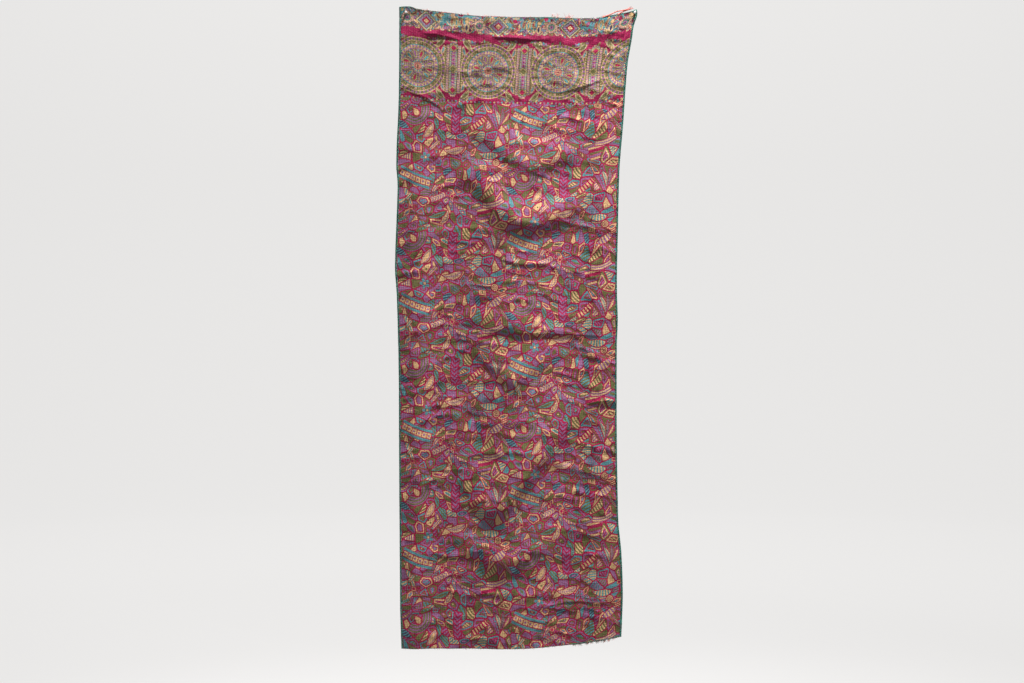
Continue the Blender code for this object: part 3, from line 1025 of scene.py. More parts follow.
# Leaves in a column's corners: lean, how far to the side and from the end, half length,
# ground, heart, line
CORNER_LEAVES = (
    (0.85, 0.035, 0.010, 0.020, TEAL, OLIVE, CORN),
    (0.35, 0.050, 0.006, 0.015, CORN, MAUVE, OLIVE),
    (1.25, 0.028, 0.030, 0.015, MAUVE, TEAL, CORN),
    (0.6, 0.042, 0.021, 0.011, OLIVE, CORN, CORN),
)


def corner_of_column(x, y, half, side, end):
    """Leaves in one corner of a column, and a row of blocks that bends away from it."""
    for lean, out, down, long, ground, heart, line in CORNER_LEAVES:
        place = (x + side * out, y + end * (half - down))
        ink = inked(CORE, 0.0026, ground, heart, line, 0.0013)
        patch(*place, -side * end * lean, long, long * 0.36, 0.04, **ink)
    for number in range(8):
        beyond = half + 0.002 - 0.0004 * number * number
        place = (x + side * (0.026 + 0.0075 * number), y + end * beyond)
        ground, line = (MAUVE, OLIVE, CORN, TEAL)[number % 4], (OLIVE, WINE)[number % 2]
        lean = -side * end * 0.3 * number
        patch(*place, lean, 0.0048, 0.0030, kind=BAR, ground=ground, line=line, stroke=0.0009)


def column(x, top, bottom):
    """A standing column of narrow strips, with leaves in its corners."""
    middle, half = (top + bottom) / 2, (bottom - top) / 2
    for beside, wide, *ink in STRIPS:
        for side in (-1, 1):
            long = half - 0.005 - beside * 0.6
            patch(x + side * beside, middle, math.pi / 2, long, wide, kind=BAR, **inked(*ink, 0.0012))
    for side in (-1, 1):
        for end in (-1, 1):
            corner_of_column(x, middle, half, side, end)
    for level, heart in ((-0.36, CRIMSON), (0.0, OLIVE), (0.36, CRIMSON)):
        square = inked(CORE, 0.0036, CORN, heart, OLIVE, 0.0014)
        patch(x, middle + level * (bottom - top), math.pi / 4, 0.0095, 0.0090, kind=BAR, **square)


SPRIG_COUNT, LINE_BEADS = 64, 58


def draw_wide_border(dice):
    panel(BORDER_END, LINE_END, STRIPE_RED)
    panel(BAND_END - 0.004, BORDER_END, STRIPE_RED)
    top, bottom = STRIPE_END, BORDER_END - 0.002
    for number in range(-1, 4):
        x = FIRST_DIAMOND - 0.020 + number * BORDER_PITCH
        column(x + BORDER_PITCH / 2, top, bottom)
        wheel(x, (top + bottom) / 2, (bottom - top) / 2 - 0.003)
    for number in range(SPRIG_COUNT):
        x = FLAT_WIDTH * (number + 0.5) / SPRIG_COUNT + dice.uniform(-0.003, 0.003)
        if dice.random() < 0.45:
            y, turn = STRIPE_END + dice.uniform(-0.004, 0.006), dice.uniform(0, 3.1)
            long = dice.uniform(0.004, 0.008)
            ground, detail = dice.choice((MAUVE, OLIVE, OLIVE, CORN)), dice.choice((WINE, TEAL, CORN))
            sprig = inked(CORE, 0.0016, ground, detail, dice.choice((OLIVE, WINE)), 0.0010)
            patch(x, y, turn, long, 0.0032, **sprig)
    for number in range(LINE_BEADS):
        x = FLAT_WIDTH * (number + 0.5) / LINE_BEADS
        bead(x, LINE_END - 0.004, 0.0030, (CORN, MAUVE, TEAL)[number % 3], OLIVE)


shapes = []
draw_wide_border(random.Random(PRINT_SEED + 1))
draw_band(random.Random(PRINT_SEED + 2))
border_shapes = shapes
print("the borders hold", len(border_shapes), "shapes")

# %% [markdown]
# ## From drawing to mesh
# Later shapes cover earlier ones, as colours do in print. So the program first finds which
# lengths of each outline still show, and drops the hidden ones, or the mesh would hold far
# too many faces. A constrained Delaunay triangulation then fills the cloth with triangles
# whose edges run along those outlines, with an even grid of points between them for the folds.

# %% Shapes as arrays
OUTLINE_STEP = 0.0055  # length of an outline's edges
LEAST_STEPS = 10


def as_table(some):
    """The shapes' numbers: x, y, cos, sin, a, b, bend, taper, kind, and which polygon."""
    return np.array([(s[0], s[1], math.cos(s[2]), math.sin(s[2]), *s[3:8], s[14]) for s in some])


def in_ring(ring, p, q):
    """1 at points inside a ring, -1 outside: it counts how often a line from each crosses it."""
    inside = np.zeros(len(p), bool)
    for (x1, y1), (x2, y2) in zip(ring, np.roll(ring, -1, axis=0)):
        beside = (y1 > q) != (y2 > q)
        inside ^= beside & (p < (x2 - x1) * (q - y1) / (y2 - y1 + 1e-15) + x1)
    return np.where(inside, 1.0, -1.0)


def inside_depth(row, x, y):
    """How far inside a shape the points lie; negative outside it."""
    px, py, c, s, a, b, bend, taper, kind, drawn = row[:10]
    dx, dy = x - px, y - py
    if kind == POLYGON:
        return in_ring(polygons[int(drawn)], dx * c + dy * s, dy * c - dx * s)
    across, up = dx * c + dy * s, dy * c - dx * s + bend
    p = bend * np.arctan2(across, up)
    q = (np.hypot(across, up) - bend) / np.maximum(1 + taper * p / a, 0.05)
    if kind == LEAF:
        radius = (a * a + b * b) / (2 * b)
        return radius - np.hypot(p, np.abs(q) + radius - b)
    return np.minimum(a - np.abs(p), b - np.abs(q))


def outline(row):
    """The points round a shape."""
    px, py, c, s, a, b, bend, taper, kind, drawn = row[:10]
    if kind == POLYGON:
        p, q = polygons[int(drawn)].T
        return np.stack([px + p * c - q * s, py + p * s + q * c], axis=1)
    if kind == LEAF:
        steps = max(LEAST_STEPS // 2, math.ceil(2.2 * a / OUTLINE_STEP))
        angle = np.linspace(0, 1, steps + 1)
        p = a * -np.cos(np.pi * angle) if b > 0.7 * a else a * (2 * angle - 1)
        radius = (a * a + b * b) / (2 * b)
        half = np.sqrt(np.maximum(radius * radius - p * p, 0)) - (radius - b)
        p, q = np.concatenate([p, p[-2:0:-1]]), np.concatenate([half, -half[-2:0:-1]])
    else:
        steps = 1 if bend >= STRAIGHT else max(2, math.ceil(2 * a / (2 * OUTLINE_STEP)))
        p = np.linspace(-a, a, steps + 1)
        p, q = np.concatenate([p, p[::-1]]), np.repeat([b, -b], steps + 1)
    q = q * (1 + taper * p / a)
    across, up = (bend + q) * np.sin(p / bend), (bend + q) * np.cos(p / bend) - bend
    return np.stack([px + across * c - up * s, py + across * s + up * c], axis=1)


def top_shape(x, y, table):
    """Which shape lies on top at each point: its row, or -1."""
    order = np.argsort(x)
    xs, ys = x[order], y[order]
    found = np.full(len(x), -1)
    for number, row in enumerate(table):
        reach = row[4] + row[5] * (1 + row[7])
        first, last = np.searchsorted(xs, (row[0] - reach, row[0] + reach))
        near = np.flatnonzero(np.abs(ys[first:last] - row[1]) < reach) + first
        inside = inside_depth(row, xs[near], ys[near]) > 0
        found[near[inside]] = number
    answer = np.empty_like(found)
    answer[order] = found
    return answer


# %% Copies of the repeat
# How far each copy is moved, over more than the whole cloth
MOVES = [
    (i * REPEAT_WIDTH, i * REPEAT_HEIGHT / 2 + j * REPEAT_HEIGHT)
    for i in range(-2, 4)
    for j in range(-4, 8)
]


def repeated(table, left, right, top, bottom, margin=0.08):
    """The field's shapes, copied over that stretch of cloth in painter's order."""
    copies = []
    for row in table:
        for dx, dy in MOVES:
            x, y = row[0] + dx, row[1] + dy
            if left - margin < x < right + margin and top - margin < y < bottom + margin:
                copies.append((x, y, *row[2:]))
    return np.array(copies)


# %% Outlines that show
MERGE = 1e-5
NEARLY_STRAIGHT = 0.025


def edges_of(faces):
    """Every edge of some triangles once, with the one or two faces beside it."""
    pairs = np.sort(np.concatenate([faces[:, [0, 1]], faces[:, [1, 2]], faces[:, [2, 0]]]), axis=1)
    face = np.tile(np.arange(len(faces)), 3)
    order = np.lexsort((pairs[:, 1], pairs[:, 0]))
    pairs, face = pairs[order], face[order]
    fresh = np.concatenate([[True], np.any(pairs[1:] != pairs[:-1], axis=1)])
    start = np.flatnonzero(fresh)
    count = np.diff(np.append(start, len(pairs)))
    other = np.where(count > 1, face[np.minimum(start + 1, len(face) - 1)], -1)
    return pairs[start], face[start], other


def triangulate(points, edges):
    spots, lines = [Vector(p) for p in points], [tuple(e) for e in edges]
    made = delaunay_2d_cdt(spots, lines, [], 0, MERGE, False)
    return np.array([tuple(v) for v in made[0]]), np.array(made[2])


def joined_up(points, edges):
    """The same lines with the points left out where one runs straight on."""
    near = {}
    for a, b in edges:
        near.setdefault(a, []).append(b)
        near.setdefault(b, []).append(a)
    for here in list(near):
        if len(near[here]) != 2:
            continue
        a, b = near[here]
        if a == b or b in near[a]:
            continue
        before, after = points[here] - points[a], points[b] - points[here]
        turn = before[0] * after[1] - before[1] * after[0]
        most = NEARLY_STRAIGHT * np.linalg.norm(before) * np.linalg.norm(after)
        if np.dot(before, after) > 0 and abs(turn) < most:
            near[a][near[a].index(here)] = b
            near[b][near[b].index(here)] = a
            del near[here]
    return [(a, b) for a in near for b in near[a] if a < b]


def showing_lines(table, left, right, top, bottom):
    """The lengths of outline that no later shape covers, as pairs of points."""
    points, edges = [], []
    for row in table:
        ring = outline(row)
        first = len(points)
        points += list(ring)
        edges += [(first + i, first + (i + 1) % len(ring)) for i in range(len(ring))]
    points, faces = triangulate(points, edges)
    middle = points[faces].mean(axis=1)
    owner = top_shape(middle[:, 0], middle[:, 1], table)
    pairs, one, other = edges_of(faces)
    shows = (other >= 0) & (owner[one] != owner[other])
    lines = joined_up(points, [tuple(pair) for pair in pairs[shows]])
    ends = np.array([(points[a], points[b]) for a, b in lines])
    centre = ends.mean(axis=1)
    return ends[((centre >= (left, top)) & (centre < (right, bottom))).all(axis=1)]


field_table = as_table(field_shapes)
around = repeated(field_table, 0, REPEAT_WIDTH, 0, REPEAT_HEIGHT)
repeat_lines = showing_lines(around, 0, REPEAT_WIDTH, 0, REPEAT_HEIGHT)
border_table = as_table(border_shapes)
border_lines = showing_lines(border_table, -0.05, FLAT_WIDTH + 0.05, -0.05, LINE_END + 0.01)
print("lengths of outline that show: repeat", len(repeat_lines), "borders", len(border_lines))

# %% All the lines of the face
GRID_STEP = 0.0088  # between the points that carry the folds
CLEAR_OF_LINES = 0.0030
CLEAR_OF_CREASES = 0.0007
CREASE_SPACING = 0.0035
CREASED = 0.0004  # a crease counts where it is at least this high
CREASE_MARGIN = 0.003  # from the cloth's sides, without points of a crease
CREASE_ROWS = (-0.7, -0.38, -0.14, 0.0, 0.35, 0.9)  # in half widths up from the ridge
HALF_LENGTH = FLAT_LENGTH / 2


def field_lines():
    """The repeat's lines, copied over the cloth below the borders."""
    lines = np.concatenate([repeat_lines + np.array(move) for move in MOVES])
    low, high = lines.min(axis=1), lines.max(axis=1)
    return lines[((high > (0, LINE_END)) & (low < (FLAT_WIDTH, FLAT_LENGTH))).all(axis=1)]


def frame_points():
    """The points round the cloth, and those of the line across its middle."""
    wide, long = round(FLAT_WIDTH / GRID_STEP), 2 * round(HALF_LENGTH / GRID_STEP)
    us, vs = np.linspace(0, FLAT_WIDTH, wide + 1), np.linspace(0, FLAT_LENGTH, long + 1)
    rows = [np.stack([us, np.full_like(us, v)], axis=1) for v in (0, HALF_LENGTH, FLAT_LENGTH)]
    columns = [np.stack([np.full_like(vs, u), vs], axis=1) for u in (0, FLAT_WIDTH)]
    return rows, columns


def segments_of(run):
    return np.stack([run[:-1], run[1:]], axis=1)


def grid_clear_of(points, step, clear):
    """An even grid of points over the cloth, without those that lie too near others."""
    us = np.arange(step, FLAT_WIDTH - step / 2, step)
    vs = np.arange(step, FLAT_LENGTH - step / 2, step)
    grid = np.array([(u + (step / 2 if row % 2 else 0), v) for row, v in enumerate(vs) for u in us])
    grid = grid[grid[:, 0] < FLAT_WIDTH - step / 2]
    return clear_of(grid, points, clear)


def merged(ends):
    """Pairs of end points as one list of points and the index pairs into it."""
    flat = ends.reshape(-1, 2)
    _, first, index = np.unique(np.round(flat, 6), axis=0, return_index=True, return_inverse=True)
    pairs = index.reshape(-1, 2)
    return flat[first], pairs[pairs[:, 0] != pairs[:, 1]]


def clockwise(points, faces):
    """Triangles turned so that they face the viewer, who sees u run right and v run down."""
    a, b, c = (points[faces[:, i]] for i in range(3))
    turn = (b[:, 0] - a[:, 0]) * (c[:, 1] - a[:, 1]) - (b[:, 1] - a[:, 1]) * (c[:, 0] - a[:, 0])
    flipped = faces.copy()
    flipped[turn > 0] = faces[turn > 0][:, ::-1]
    return flipped[np.abs(turn) > 1e-12]


def compact(points, faces):
    """Only the points that the triangles use."""
    used, index = np.unique(faces, return_inverse=True)
    return points[used], index.reshape(faces.shape)


def crease_points():
    """Rows of points along each crease, close enough together to hold its sharp ridge."""
    found = []
    for _, half, line in CREASES:
        x = np.arange(line[0][0], line[-1][0], CREASE_SPACING)
        for over in CREASE_ROWS:
            z = along(line, x) + over * half
            left, right = along(LEFT_EDGE, z), along(RIGHT_EDGE, z)
            u = (x - left - INSET) / (right - left - 2 * INSET) * FLAT_WIDTH
            v = CLOTH_TOP - z
            for _ in range(6):
                v = v + middle_layer(u, v)[:, 2] - z
            found.append(np.stack([u, v], axis=1))
    found = np.concatenate(found)
    inside = (found[:, 0] > CREASE_MARGIN) & (found[:, 0] < FLAT_WIDTH - CREASE_MARGIN)
    return found[inside & (np.abs(found[:, 1] - HALF_LENGTH) > 0.002)]


def clear_of(points, others, clear):
    """Those of the points that lie further than about this from all the others."""
    cells = {tuple(cell) for cell in np.floor(others / clear).astype(int).tolist()}
    own = np.floor(points / clear).astype(int).tolist()
    keep = [not any((x + i, y + j) in cells for i in (-1, 0, 1) for j in (-1, 0, 1)) for x, y in own]
    return points[np.array(keep)]


def split_on_creases(lines):
    """The lines, with those that lie on a crease cut short enough to follow its ridge."""
    share = np.linspace(0, 1, 6)[None, :, None]
    spots = (lines[:, :1] * (1 - share) + lines[:, 1:] * share).reshape(-1, 2)
    places = middle_layer(*spots.T)
    lift = sum(crease_depth(crease, places[:, 0], places[:, 2]) for crease in CREASES)
    length = np.linalg.norm(lines[:, 1] - lines[:, 0], axis=1)
    long = (lift.reshape(len(lines), -1).max(axis=1) > CREASED) & (length > CREASE_SPACING)
    found = [lines[~long]]
    for line, size in zip(lines[long], length[long]):
        cuts = np.linspace(0, 1, math.ceil(size / CREASE_SPACING) + 1)[:, None]
        found.append(segments_of(line[0] * (1 - cuts) + line[1] * cuts))
    return np.concatenate(found)


def filled(points, pairs):
    """Triangles that fill the cloth, through those points and along those lines."""
    points, faces = triangulate(points, pairs)
    middles = points[faces].mean(axis=1)
    within = ((middles > 0) & (middles < (FLAT_WIDTH, FLAT_LENGTH))).all(axis=1)
    return compact(points, clockwise(points, faces[within]))


rows, columns = frame_points()
drawn = [split_on_creases(field_lines()), split_on_creases(border_lines)]
drawn += [segments_of(run) for run in rows + columns]
points, pairs = merged(np.concatenate(drawn))
creased = clear_of(crease_points(), points, CLEAR_OF_CREASES)
grid = grid_clear_of(np.concatenate([points, creased]), GRID_STEP, CLEAR_OF_LINES)
front_points, front_faces = filled(np.concatenate([points, creased, grid]), pairs)
middles = front_points[front_faces].mean(axis=1)
print("points along the creases:", len(creased))
print("front:", len(front_faces), "triangles")

# %% Which shape each triangle belongs to
all_shapes = field_shapes + border_shapes
numbers = np.arange(len(all_shapes))[:, None]
field_rows = np.hstack([field_table, numbers[: len(field_table)]])
border_rows = np.hstack([border_table, numbers[len(field_table) :]])
every_row = np.concatenate([repeated(field_rows, 0, FLAT_WIDTH, LINE_END, FLAT_LENGTH), border_rows])
owner = top_shape(middles[:, 0], middles[:, 1], every_row)
print("bare triangles:", int((owner < 0).sum()))

# %% The back and the rim
BACK_STEP = 0.0060


def open_edges(faces):
    """The edges that only one triangle has, in that triangle's direction."""
    directed = np.concatenate([faces[:, [0, 1]], faces[:, [1, 2]], faces[:, [2, 0]]])
    there = {tuple(edge) for edge in directed.tolist()}
    return np.array([edge for edge in directed.tolist() if (edge[1], edge[0]) not in there])


rim = open_edges(front_faces)
rim_points = np.unique(rim)
rim_places = front_points[rim_points]
renumbered = {old: new for new, old in enumerate(rim_points.tolist())}
back_pairs = np.array([[renumbered[a], renumbered[b]] for a, b in rim.tolist()])
back_creases = clear_of(creased, rim_places, CLEAR_OF_CREASES)
back_grid = grid_clear_of(np.concatenate([rim_places, back_creases]), BACK_STEP, CLEAR_OF_LINES)
back_points, back_faces = filled(np.concatenate([rim_places, back_creases, back_grid]), back_pairs)
back_faces = back_faces[:, ::-1]
back_places = enumerate(np.round(back_points, 6).tolist())
back_index = {tuple(place): number for number, place in back_places}
front_places = zip(rim_points.tolist(), np.round(rim_places, 6).tolist())
behind = {front: back_index[tuple(place)] for front, place in front_places}
print("back:", len(back_faces), "triangles; rim:", len(rim), "edges")

# %% One closed mesh
count = len(front_points)
cloth_uv = np.concatenate([front_points, back_points])
half = CLOTH_THICKNESS / 2
cloth_places = np.concatenate([on_cloth(*front_points.T, half), on_cloth(*back_points.T, -half)])
rim_faces = []
for a, b in rim.tolist():
    rim_faces += [(b, a, count + behind[a]), (b, count + behind[a], count + behind[b])]
all_faces = np.concatenate([front_faces, back_faces + count, np.array(rim_faces)])
first_back, first_rim = len(front_faces), len(front_faces) + len(back_faces)


def mesh_from(name, places, faces):
    """A mesh of triangles from arrays."""
    mesh = bpy.data.meshes.new(name)
    mesh.vertices.add(len(places))
    mesh.vertices.foreach_set("co", np.asarray(places, np.float32).ravel())
    mesh.loops.add(faces.size)
    mesh.loops.foreach_set("vertex_index", faces.astype(np.int32).ravel())
    mesh.polygons.add(len(faces))
    mesh.polygons.foreach_set("loop_start", np.arange(0, faces.size, 3, dtype=np.int32))
    mesh.update(calc_edges=True)
    mesh.validate()
    return mesh


def object_of(mesh):
    thing = bpy.data.objects.new(mesh.name, mesh)
    bpy.context.scene.collection.objects.link(thing)
    return thing


cloth_mesh = mesh_from("kantha_cloth", cloth_places, all_faces)
kantha_cloth = object_of(cloth_mesh)
print("cloth:", len(cloth_mesh.polygons), "triangles")

# %% Smooth shading from the true surface
corners = all_faces.ravel()
normals = outward(*cloth_uv.T)[corners]
normals[first_back * 3 : first_rim * 3] *= -1
rim_corners = cloth_places[all_faces[first_rim:]]
rim_normal = np.cross(rim_corners[:, 1] - rim_corners[:, 0], rim_corners[:, 2] - rim_corners[:, 0])
rim_normal /= np.linalg.norm(rim_normal, axis=1, keepdims=True)
normals[first_rim * 3 :] = np.repeat(rim_normal, 3, axis=0)
cloth_mesh.polygons.foreach_set("use_smooth", np.ones(len(all_faces), bool))
cloth_mesh.normals_split_custom_set(normals.tolist())
material_index = np.ones(len(all_faces), np.int32)
material_index[:first_back] = 0
cloth_mesh.polygons.foreach_set("material_index", material_index)

# %% The measures that the print's material reads
def store(mesh, name, kind, domain, values):
    values = np.asarray(values, np.float32)
    attribute = mesh.attributes.new(name, kind, domain)
    key = {"FLOAT": "value", "FLOAT_COLOR": "color", "FLOAT_VECTOR": "vector"}[kind]
    attribute.data.foreach_set(key, values.ravel())


def add_map(mesh, name, places):
    layer = mesh.uv_layers.new(name=name)
    layer.uv.foreach_set("vector", np.asarray(places, np.float32).ravel())


BARE = (0, 0, 0.0, 0.01, 0.01, STRAIGHT, 0.0, PANEL, PLAIN, 0.01, OUTLINE, OUTLINE, OUTLINE, 0.001, -1)
drawn_shapes = all_shapes + [BARE]
row_of = np.where(owner >= 0, owner, len(every_row))
table = np.vstack([every_row, [0, 0, 1, 0, 0.01, 0.01, STRAIGHT, 0, PANEL, -1, len(all_shapes)]])
mine = table[row_of]
shape_of = mine[:, 10].astype(int)
facts = [drawn_shapes[number] for number in shape_of]
blank = len(all_faces) - first_back

u, v = front_points[front_faces][:, :, 0], front_points[front_faces][:, :, 1]
dx, dy = u - mine[:, 0:1], v - mine[:, 1:2]
pitch = np.repeat(np.array([fact[9] for fact in facts])[:, None], 3, axis=1)
c, s = mine[:, 2:3], mine[:, 3:4]
place = np.stack([dx * c + dy * s, dy * c - dx * s, pitch], axis=-1).reshape(-1, 3)
store(cloth_mesh, "place", "FLOAT_VECTOR", "CORNER", np.concatenate([place, np.zeros((blank * 3, 3))]))


def for_each_face(columns):
    values = np.array(columns, float).reshape(first_back, -1)
    return np.concatenate([values, np.ones((blank, values.shape[1]))])


manner = [(min(fact[7], PANEL), fact[8], fact[6]) for fact in facts]
store(cloth_mesh, "measure", "FLOAT_VECTOR", "FACE", for_each_face(mine[:, 4:7]))
store(cloth_mesh, "manner", "FLOAT_VECTOR", "FACE", for_each_face(manner))
store(cloth_mesh, "stroke", "FLOAT", "FACE", for_each_face([fact[13] for fact in facts]))
for name, column in (("ground", 10), ("detail", 11), ("line", 12)):
    colours = [(*linear(*fact[column]), 1) for fact in facts]
    store(cloth_mesh, name, "FLOAT_COLOR", "FACE", for_each_face(colours))
print("shapes drawn on the cloth:", len(set(shape_of.tolist())))

# %% Where the rows of running stitch run
ROW_PITCH = 0.0062  # between the rows
STITCH_PITCH = 0.0074  # from one stitch of a row to the next


def drift(u, v):
    """How far the rows wander to one side, because they were sewn by eye."""
    slow, middling = 0.0016 * np.sin(v * 9 + u * 4), 0.0011 * np.sin(v * 31 - u * 17)
    return slow + middling + 0.0004 * np.sin(v * 83 + u * 60)


def row_places(u, v):
    """Rows across and stitches down, as counts, at those places."""
    return np.stack([(u + drift(u, v)) / ROW_PITCH, v / STITCH_PITCH], axis=-1)


def across_of_row(row, v):
    """How far across the cloth a row lies at this length."""
    u = (row + 0.5) * ROW_PITCH
    for _ in range(4):
        u = (row + 0.5) * ROW_PITCH - drift(u, v)
    return u


def row_shift(row):
    """How far the stitches of a row are set on from those of the first."""
    return -((np.sin(row * 12.9898) * 43.7) % 1.0)


# %% Three maps: the cloth in metres, its stitch rows, and a square one for baking
GUTTER = 0.006
BACK_SHARE = 0.30


def bake_places():
    """The face as two halves side by side, and the back as a strip below them."""
    u, v = cloth_uv[corners].T / np.array([[FLAT_WIDTH], [FLAT_LENGTH]])
    lower = np.repeat(cloth_uv[all_faces].mean(axis=1)[:, 1] > HALF_LENGTH, 3)
    down = np.where(lower, v - 0.5, v) * 2
    x = GUTTER + u * (0.5 - 2 * GUTTER) + np.where(lower, 0.5, 0)
    y = 1 - GUTTER - down * (1 - BACK_SHARE - 2 * GUTTER)
    back = np.arange(len(corners)) >= first_back * 3
    outside = np.where(np.arange(len(corners)) >= first_rim * 3, (corners < count) * 0.002, 0)
    grown = 1 + 2 * outside
    x = np.where(back, GUTTER + (0.5 + (v - 0.5) * grown) * (1 - 2 * GUTTER), x)
    y = np.where(back, GUTTER + (0.5 + (u - 0.5) * grown) * (BACK_SHARE - 2 * GUTTER), y)
    return np.stack([x, y], axis=1)


add_map(cloth_mesh, "flat", cloth_uv[corners])
add_map(cloth_mesh, "rows", row_places(*cloth_uv[corners].T))
add_map(cloth_mesh, "OFBake", bake_places())
print("maps:", [layer.name for layer in cloth_mesh.uv_layers])

# %% [markdown]
# ## Writing a material as plain sums
# A long chain of Math nodes is hard to read in code. The little class below wraps a node's
# output, so that a formula such as a - b * c builds its own nodes. Each finish after this is
# then a few lines of arithmetic. Constants that are the same all over stay on the shader.

# %% Node sums
def feed(tree, slot, value):
    """Links a sum or another node's output to an input, or sets the input to a plain value."""
    source = getattr(value, "socket", value)
    if isinstance(source, bpy.types.NodeSocket):
        tree.links.new(source, slot)
    else:
        slot.default_value = (*value, 1) if isinstance(value, tuple) else value


def math_node(operation, turned=False):
    """A method that puts one Math node after its sum, or before it when turned."""

    def method(self, *others):
        return self.op(operation, *(others + (self,) if turned else (self,) + others))

    return method


class Sum:
    """A number that a material works out at each point."""

    def __init__(self, tree, socket):
        self.tree, self.socket = tree, socket

    def op(self, operation, *values):
        node = self.tree.nodes.new("ShaderNodeMath")
        node.operation = operation
        for slot, value in zip(node.inputs, values):
            feed(self.tree, slot, value)
        return Sum(self.tree, node.outputs[0])

    __add__, __radd__ = math_node("ADD"), math_node("ADD", turned=True)
    __sub__, __rsub__ = math_node("SUBTRACT"), math_node("SUBTRACT", turned=True)
    __mul__, __rmul__ = math_node("MULTIPLY"), math_node("MULTIPLY", turned=True)
    __truediv__ = math_node("DIVIDE")
    __lt__, __gt__ = math_node("LESS_THAN"), math_node("GREATER_THAN")
    size, root, wave = math_node("ABSOLUTE"), math_node("SQRT"), math_node("SINE")
    part, whole = math_node("FRACT"), math_node("FLOOR")
    least, most = math_node("MINIMUM"), math_node("MAXIMUM")
    angle_to = math_node("ARCTAN2")

    def equals(self, number):
        return self.op("COMPARE", self, float(number), 0.5)


def length_of(a, b):
    return (a * a + b * b).root()


def between(mask, off, on):
    """off where the mask is 0 and on where it is 1."""
    return off + (on - off) * mask


# %% A material under construction
class Finish:
    """A new material, and the nodes that lead to its shader."""

    def __init__(self, name, roughness, sheen=0.0, specular=0.5):
        self.material = bpy.data.materials.new(name)
        self.material.use_nodes = True
        self.tree = self.material.node_tree
        self.shader = self.tree.nodes["Principled BSDF"]
        values = {"Roughness": roughness, "Specular IOR Level": specular}
        values.update({"Sheen Weight": sheen, "Sheen Roughness": 0.4})
        self.give(self.shader, values)

    def give(self, node, values):
        for name, value in values.items():
            feed(self.tree, node.inputs[name], value)
        return node.outputs[0]

    def node(self, kind, **settings):
        made = self.tree.nodes.new(kind)
        for name, value in settings.items():
            setattr(made, name, value)
        return made

    def sums(self, socket):
        """The three numbers of a vector."""
        parts = self.node("ShaderNodeSeparateXYZ")
        self.tree.links.new(socket, parts.inputs[0])
        return [Sum(self.tree, out) for out in parts.outputs]

    def on_map(self, name):
        """Across and along on one of the piece's flat maps."""
        return self.sums(self.node("ShaderNodeUVMap", uv_map=name).outputs[0])[:2]

    def attribute(self, name, output="Vector"):
        return self.node("ShaderNodeAttribute", attribute_name=name).outputs[output]

    def vector(self, *numbers):
        joined = self.node("ShaderNodeCombineXYZ")
        for slot, number in zip(joined.inputs, numbers):
            feed(self.tree, slot, number)
        return joined.outputs[0]

    def noise(self, place, scale, detail=2.0, roughness=0.5):
        node = self.node("ShaderNodeTexNoise")
        values = {"Vector": place, "Scale": scale, "Detail": detail, "Roughness": roughness}
        return Sum(self.tree, self.give(node, values))

    def mix(self, mask, off, on):
        """A colour between two others; each is a colour or a socket."""
        node = self.node("ShaderNodeMix", data_type="RGBA")
        slots = {slot.identifier: slot for slot in (*node.inputs, *node.outputs)}
        for name, value in (("Factor_Float", mask), ("A_Color", off), ("B_Color", on)):
            feed(self.tree, slots[name], value)
        return slots["Result_Color"]

    def lightened(self, colour, factor):
        """A colour times a number."""
        node = self.node("ShaderNodeVectorMath", operation="SCALE")
        return self.give(node, {0: colour, "Scale": factor})

    def paint(self, colour):
        self.tree.links.new(colour, self.shader.inputs["Base Color"])

    def relief(self, height, strength):
        """Bump from a height in metres."""
        values = {"Strength": strength, "Distance": 1.0, "Height": height}
        bumped = self.give(self.node("ShaderNodeBump"), values)
        self.tree.links.new(bumped, self.shader.inputs["Normal"])


# %% [markdown]
# ## The printed face
# The material reads each shape's own measures. It straightens the bend and the taper, works
# out how far inside the outline each point lies, and draws the outline and the filling from
# that. On top come the things that make it old cloth and not paper: thread that takes the
# dye unevenly, speckle from the weave, and the rows of running stitch, whose dimples are
# also darkened with painted shade.

# %% Weave and stitch rows, shared by the face and the back
THREAD_PITCH = 0.0007  # of the cloth's own weave
STRAY = 0.0016  # how far the printed lines stray from the drawn ones


def row_dimples(finish):
    """1 in the middle of each stitch, where the thread pulls the layers in, 0 between the rows."""
    across, along_row = finish.on_map("rows")
    row = across.whole()
    in_row = (across.part() - 0.5).size()
    pull = ((along_row + (row * 12.9898).wave() * 43.7).part() - 0.5).size()
    return (1.0 - (in_row * 3.4).least(1.0)) * (1.0 - pull * 1.4)


def cloth_relief(finish, u, v):
    """Height of the weave, the stitch rows and the small pucker between them, in metres."""
    ripple = finish.noise(finish.vector(u * 110.0, v * 330.0, 0.0), 1.0)
    weave = (u * (math.tau / THREAD_PITCH)).wave() * (v * (math.tau / THREAD_PITCH)).wave()
    return row_dimples(finish) * -0.00070 + ripple * 0.0016 + weave * 0.00003


def dye_and_dimple_shade(finish, u, v, colour):
    """Uneven dye, speckle from the weave, slubs, and painted shade in the stitch dimples."""
    wide = finish.noise(finish.vector(u, v, 0.0), 7.0)
    grain = finish.noise(finish.vector(u * 360.0, v * 300.0, 0.0), 1.0, 2.0, 0.7)
    speckle = finish.noise(finish.vector(u * 900.0, v * 700.0, 0.0), 1.0, 1.0, 0.6)
    slub = finish.noise(finish.vector(u * 90.0, v * 1400.0, 0.0), 1.0, 1.0)
    level = -0.11 + wide * 0.26 + grain * 1.25 + speckle * 0.74 + slub * 0.12
    # painted shade: the colour is darkened in the dimples where the stitches pull the layers in
    return finish.lightened(colour, level - row_dimples(finish) * 0.30)


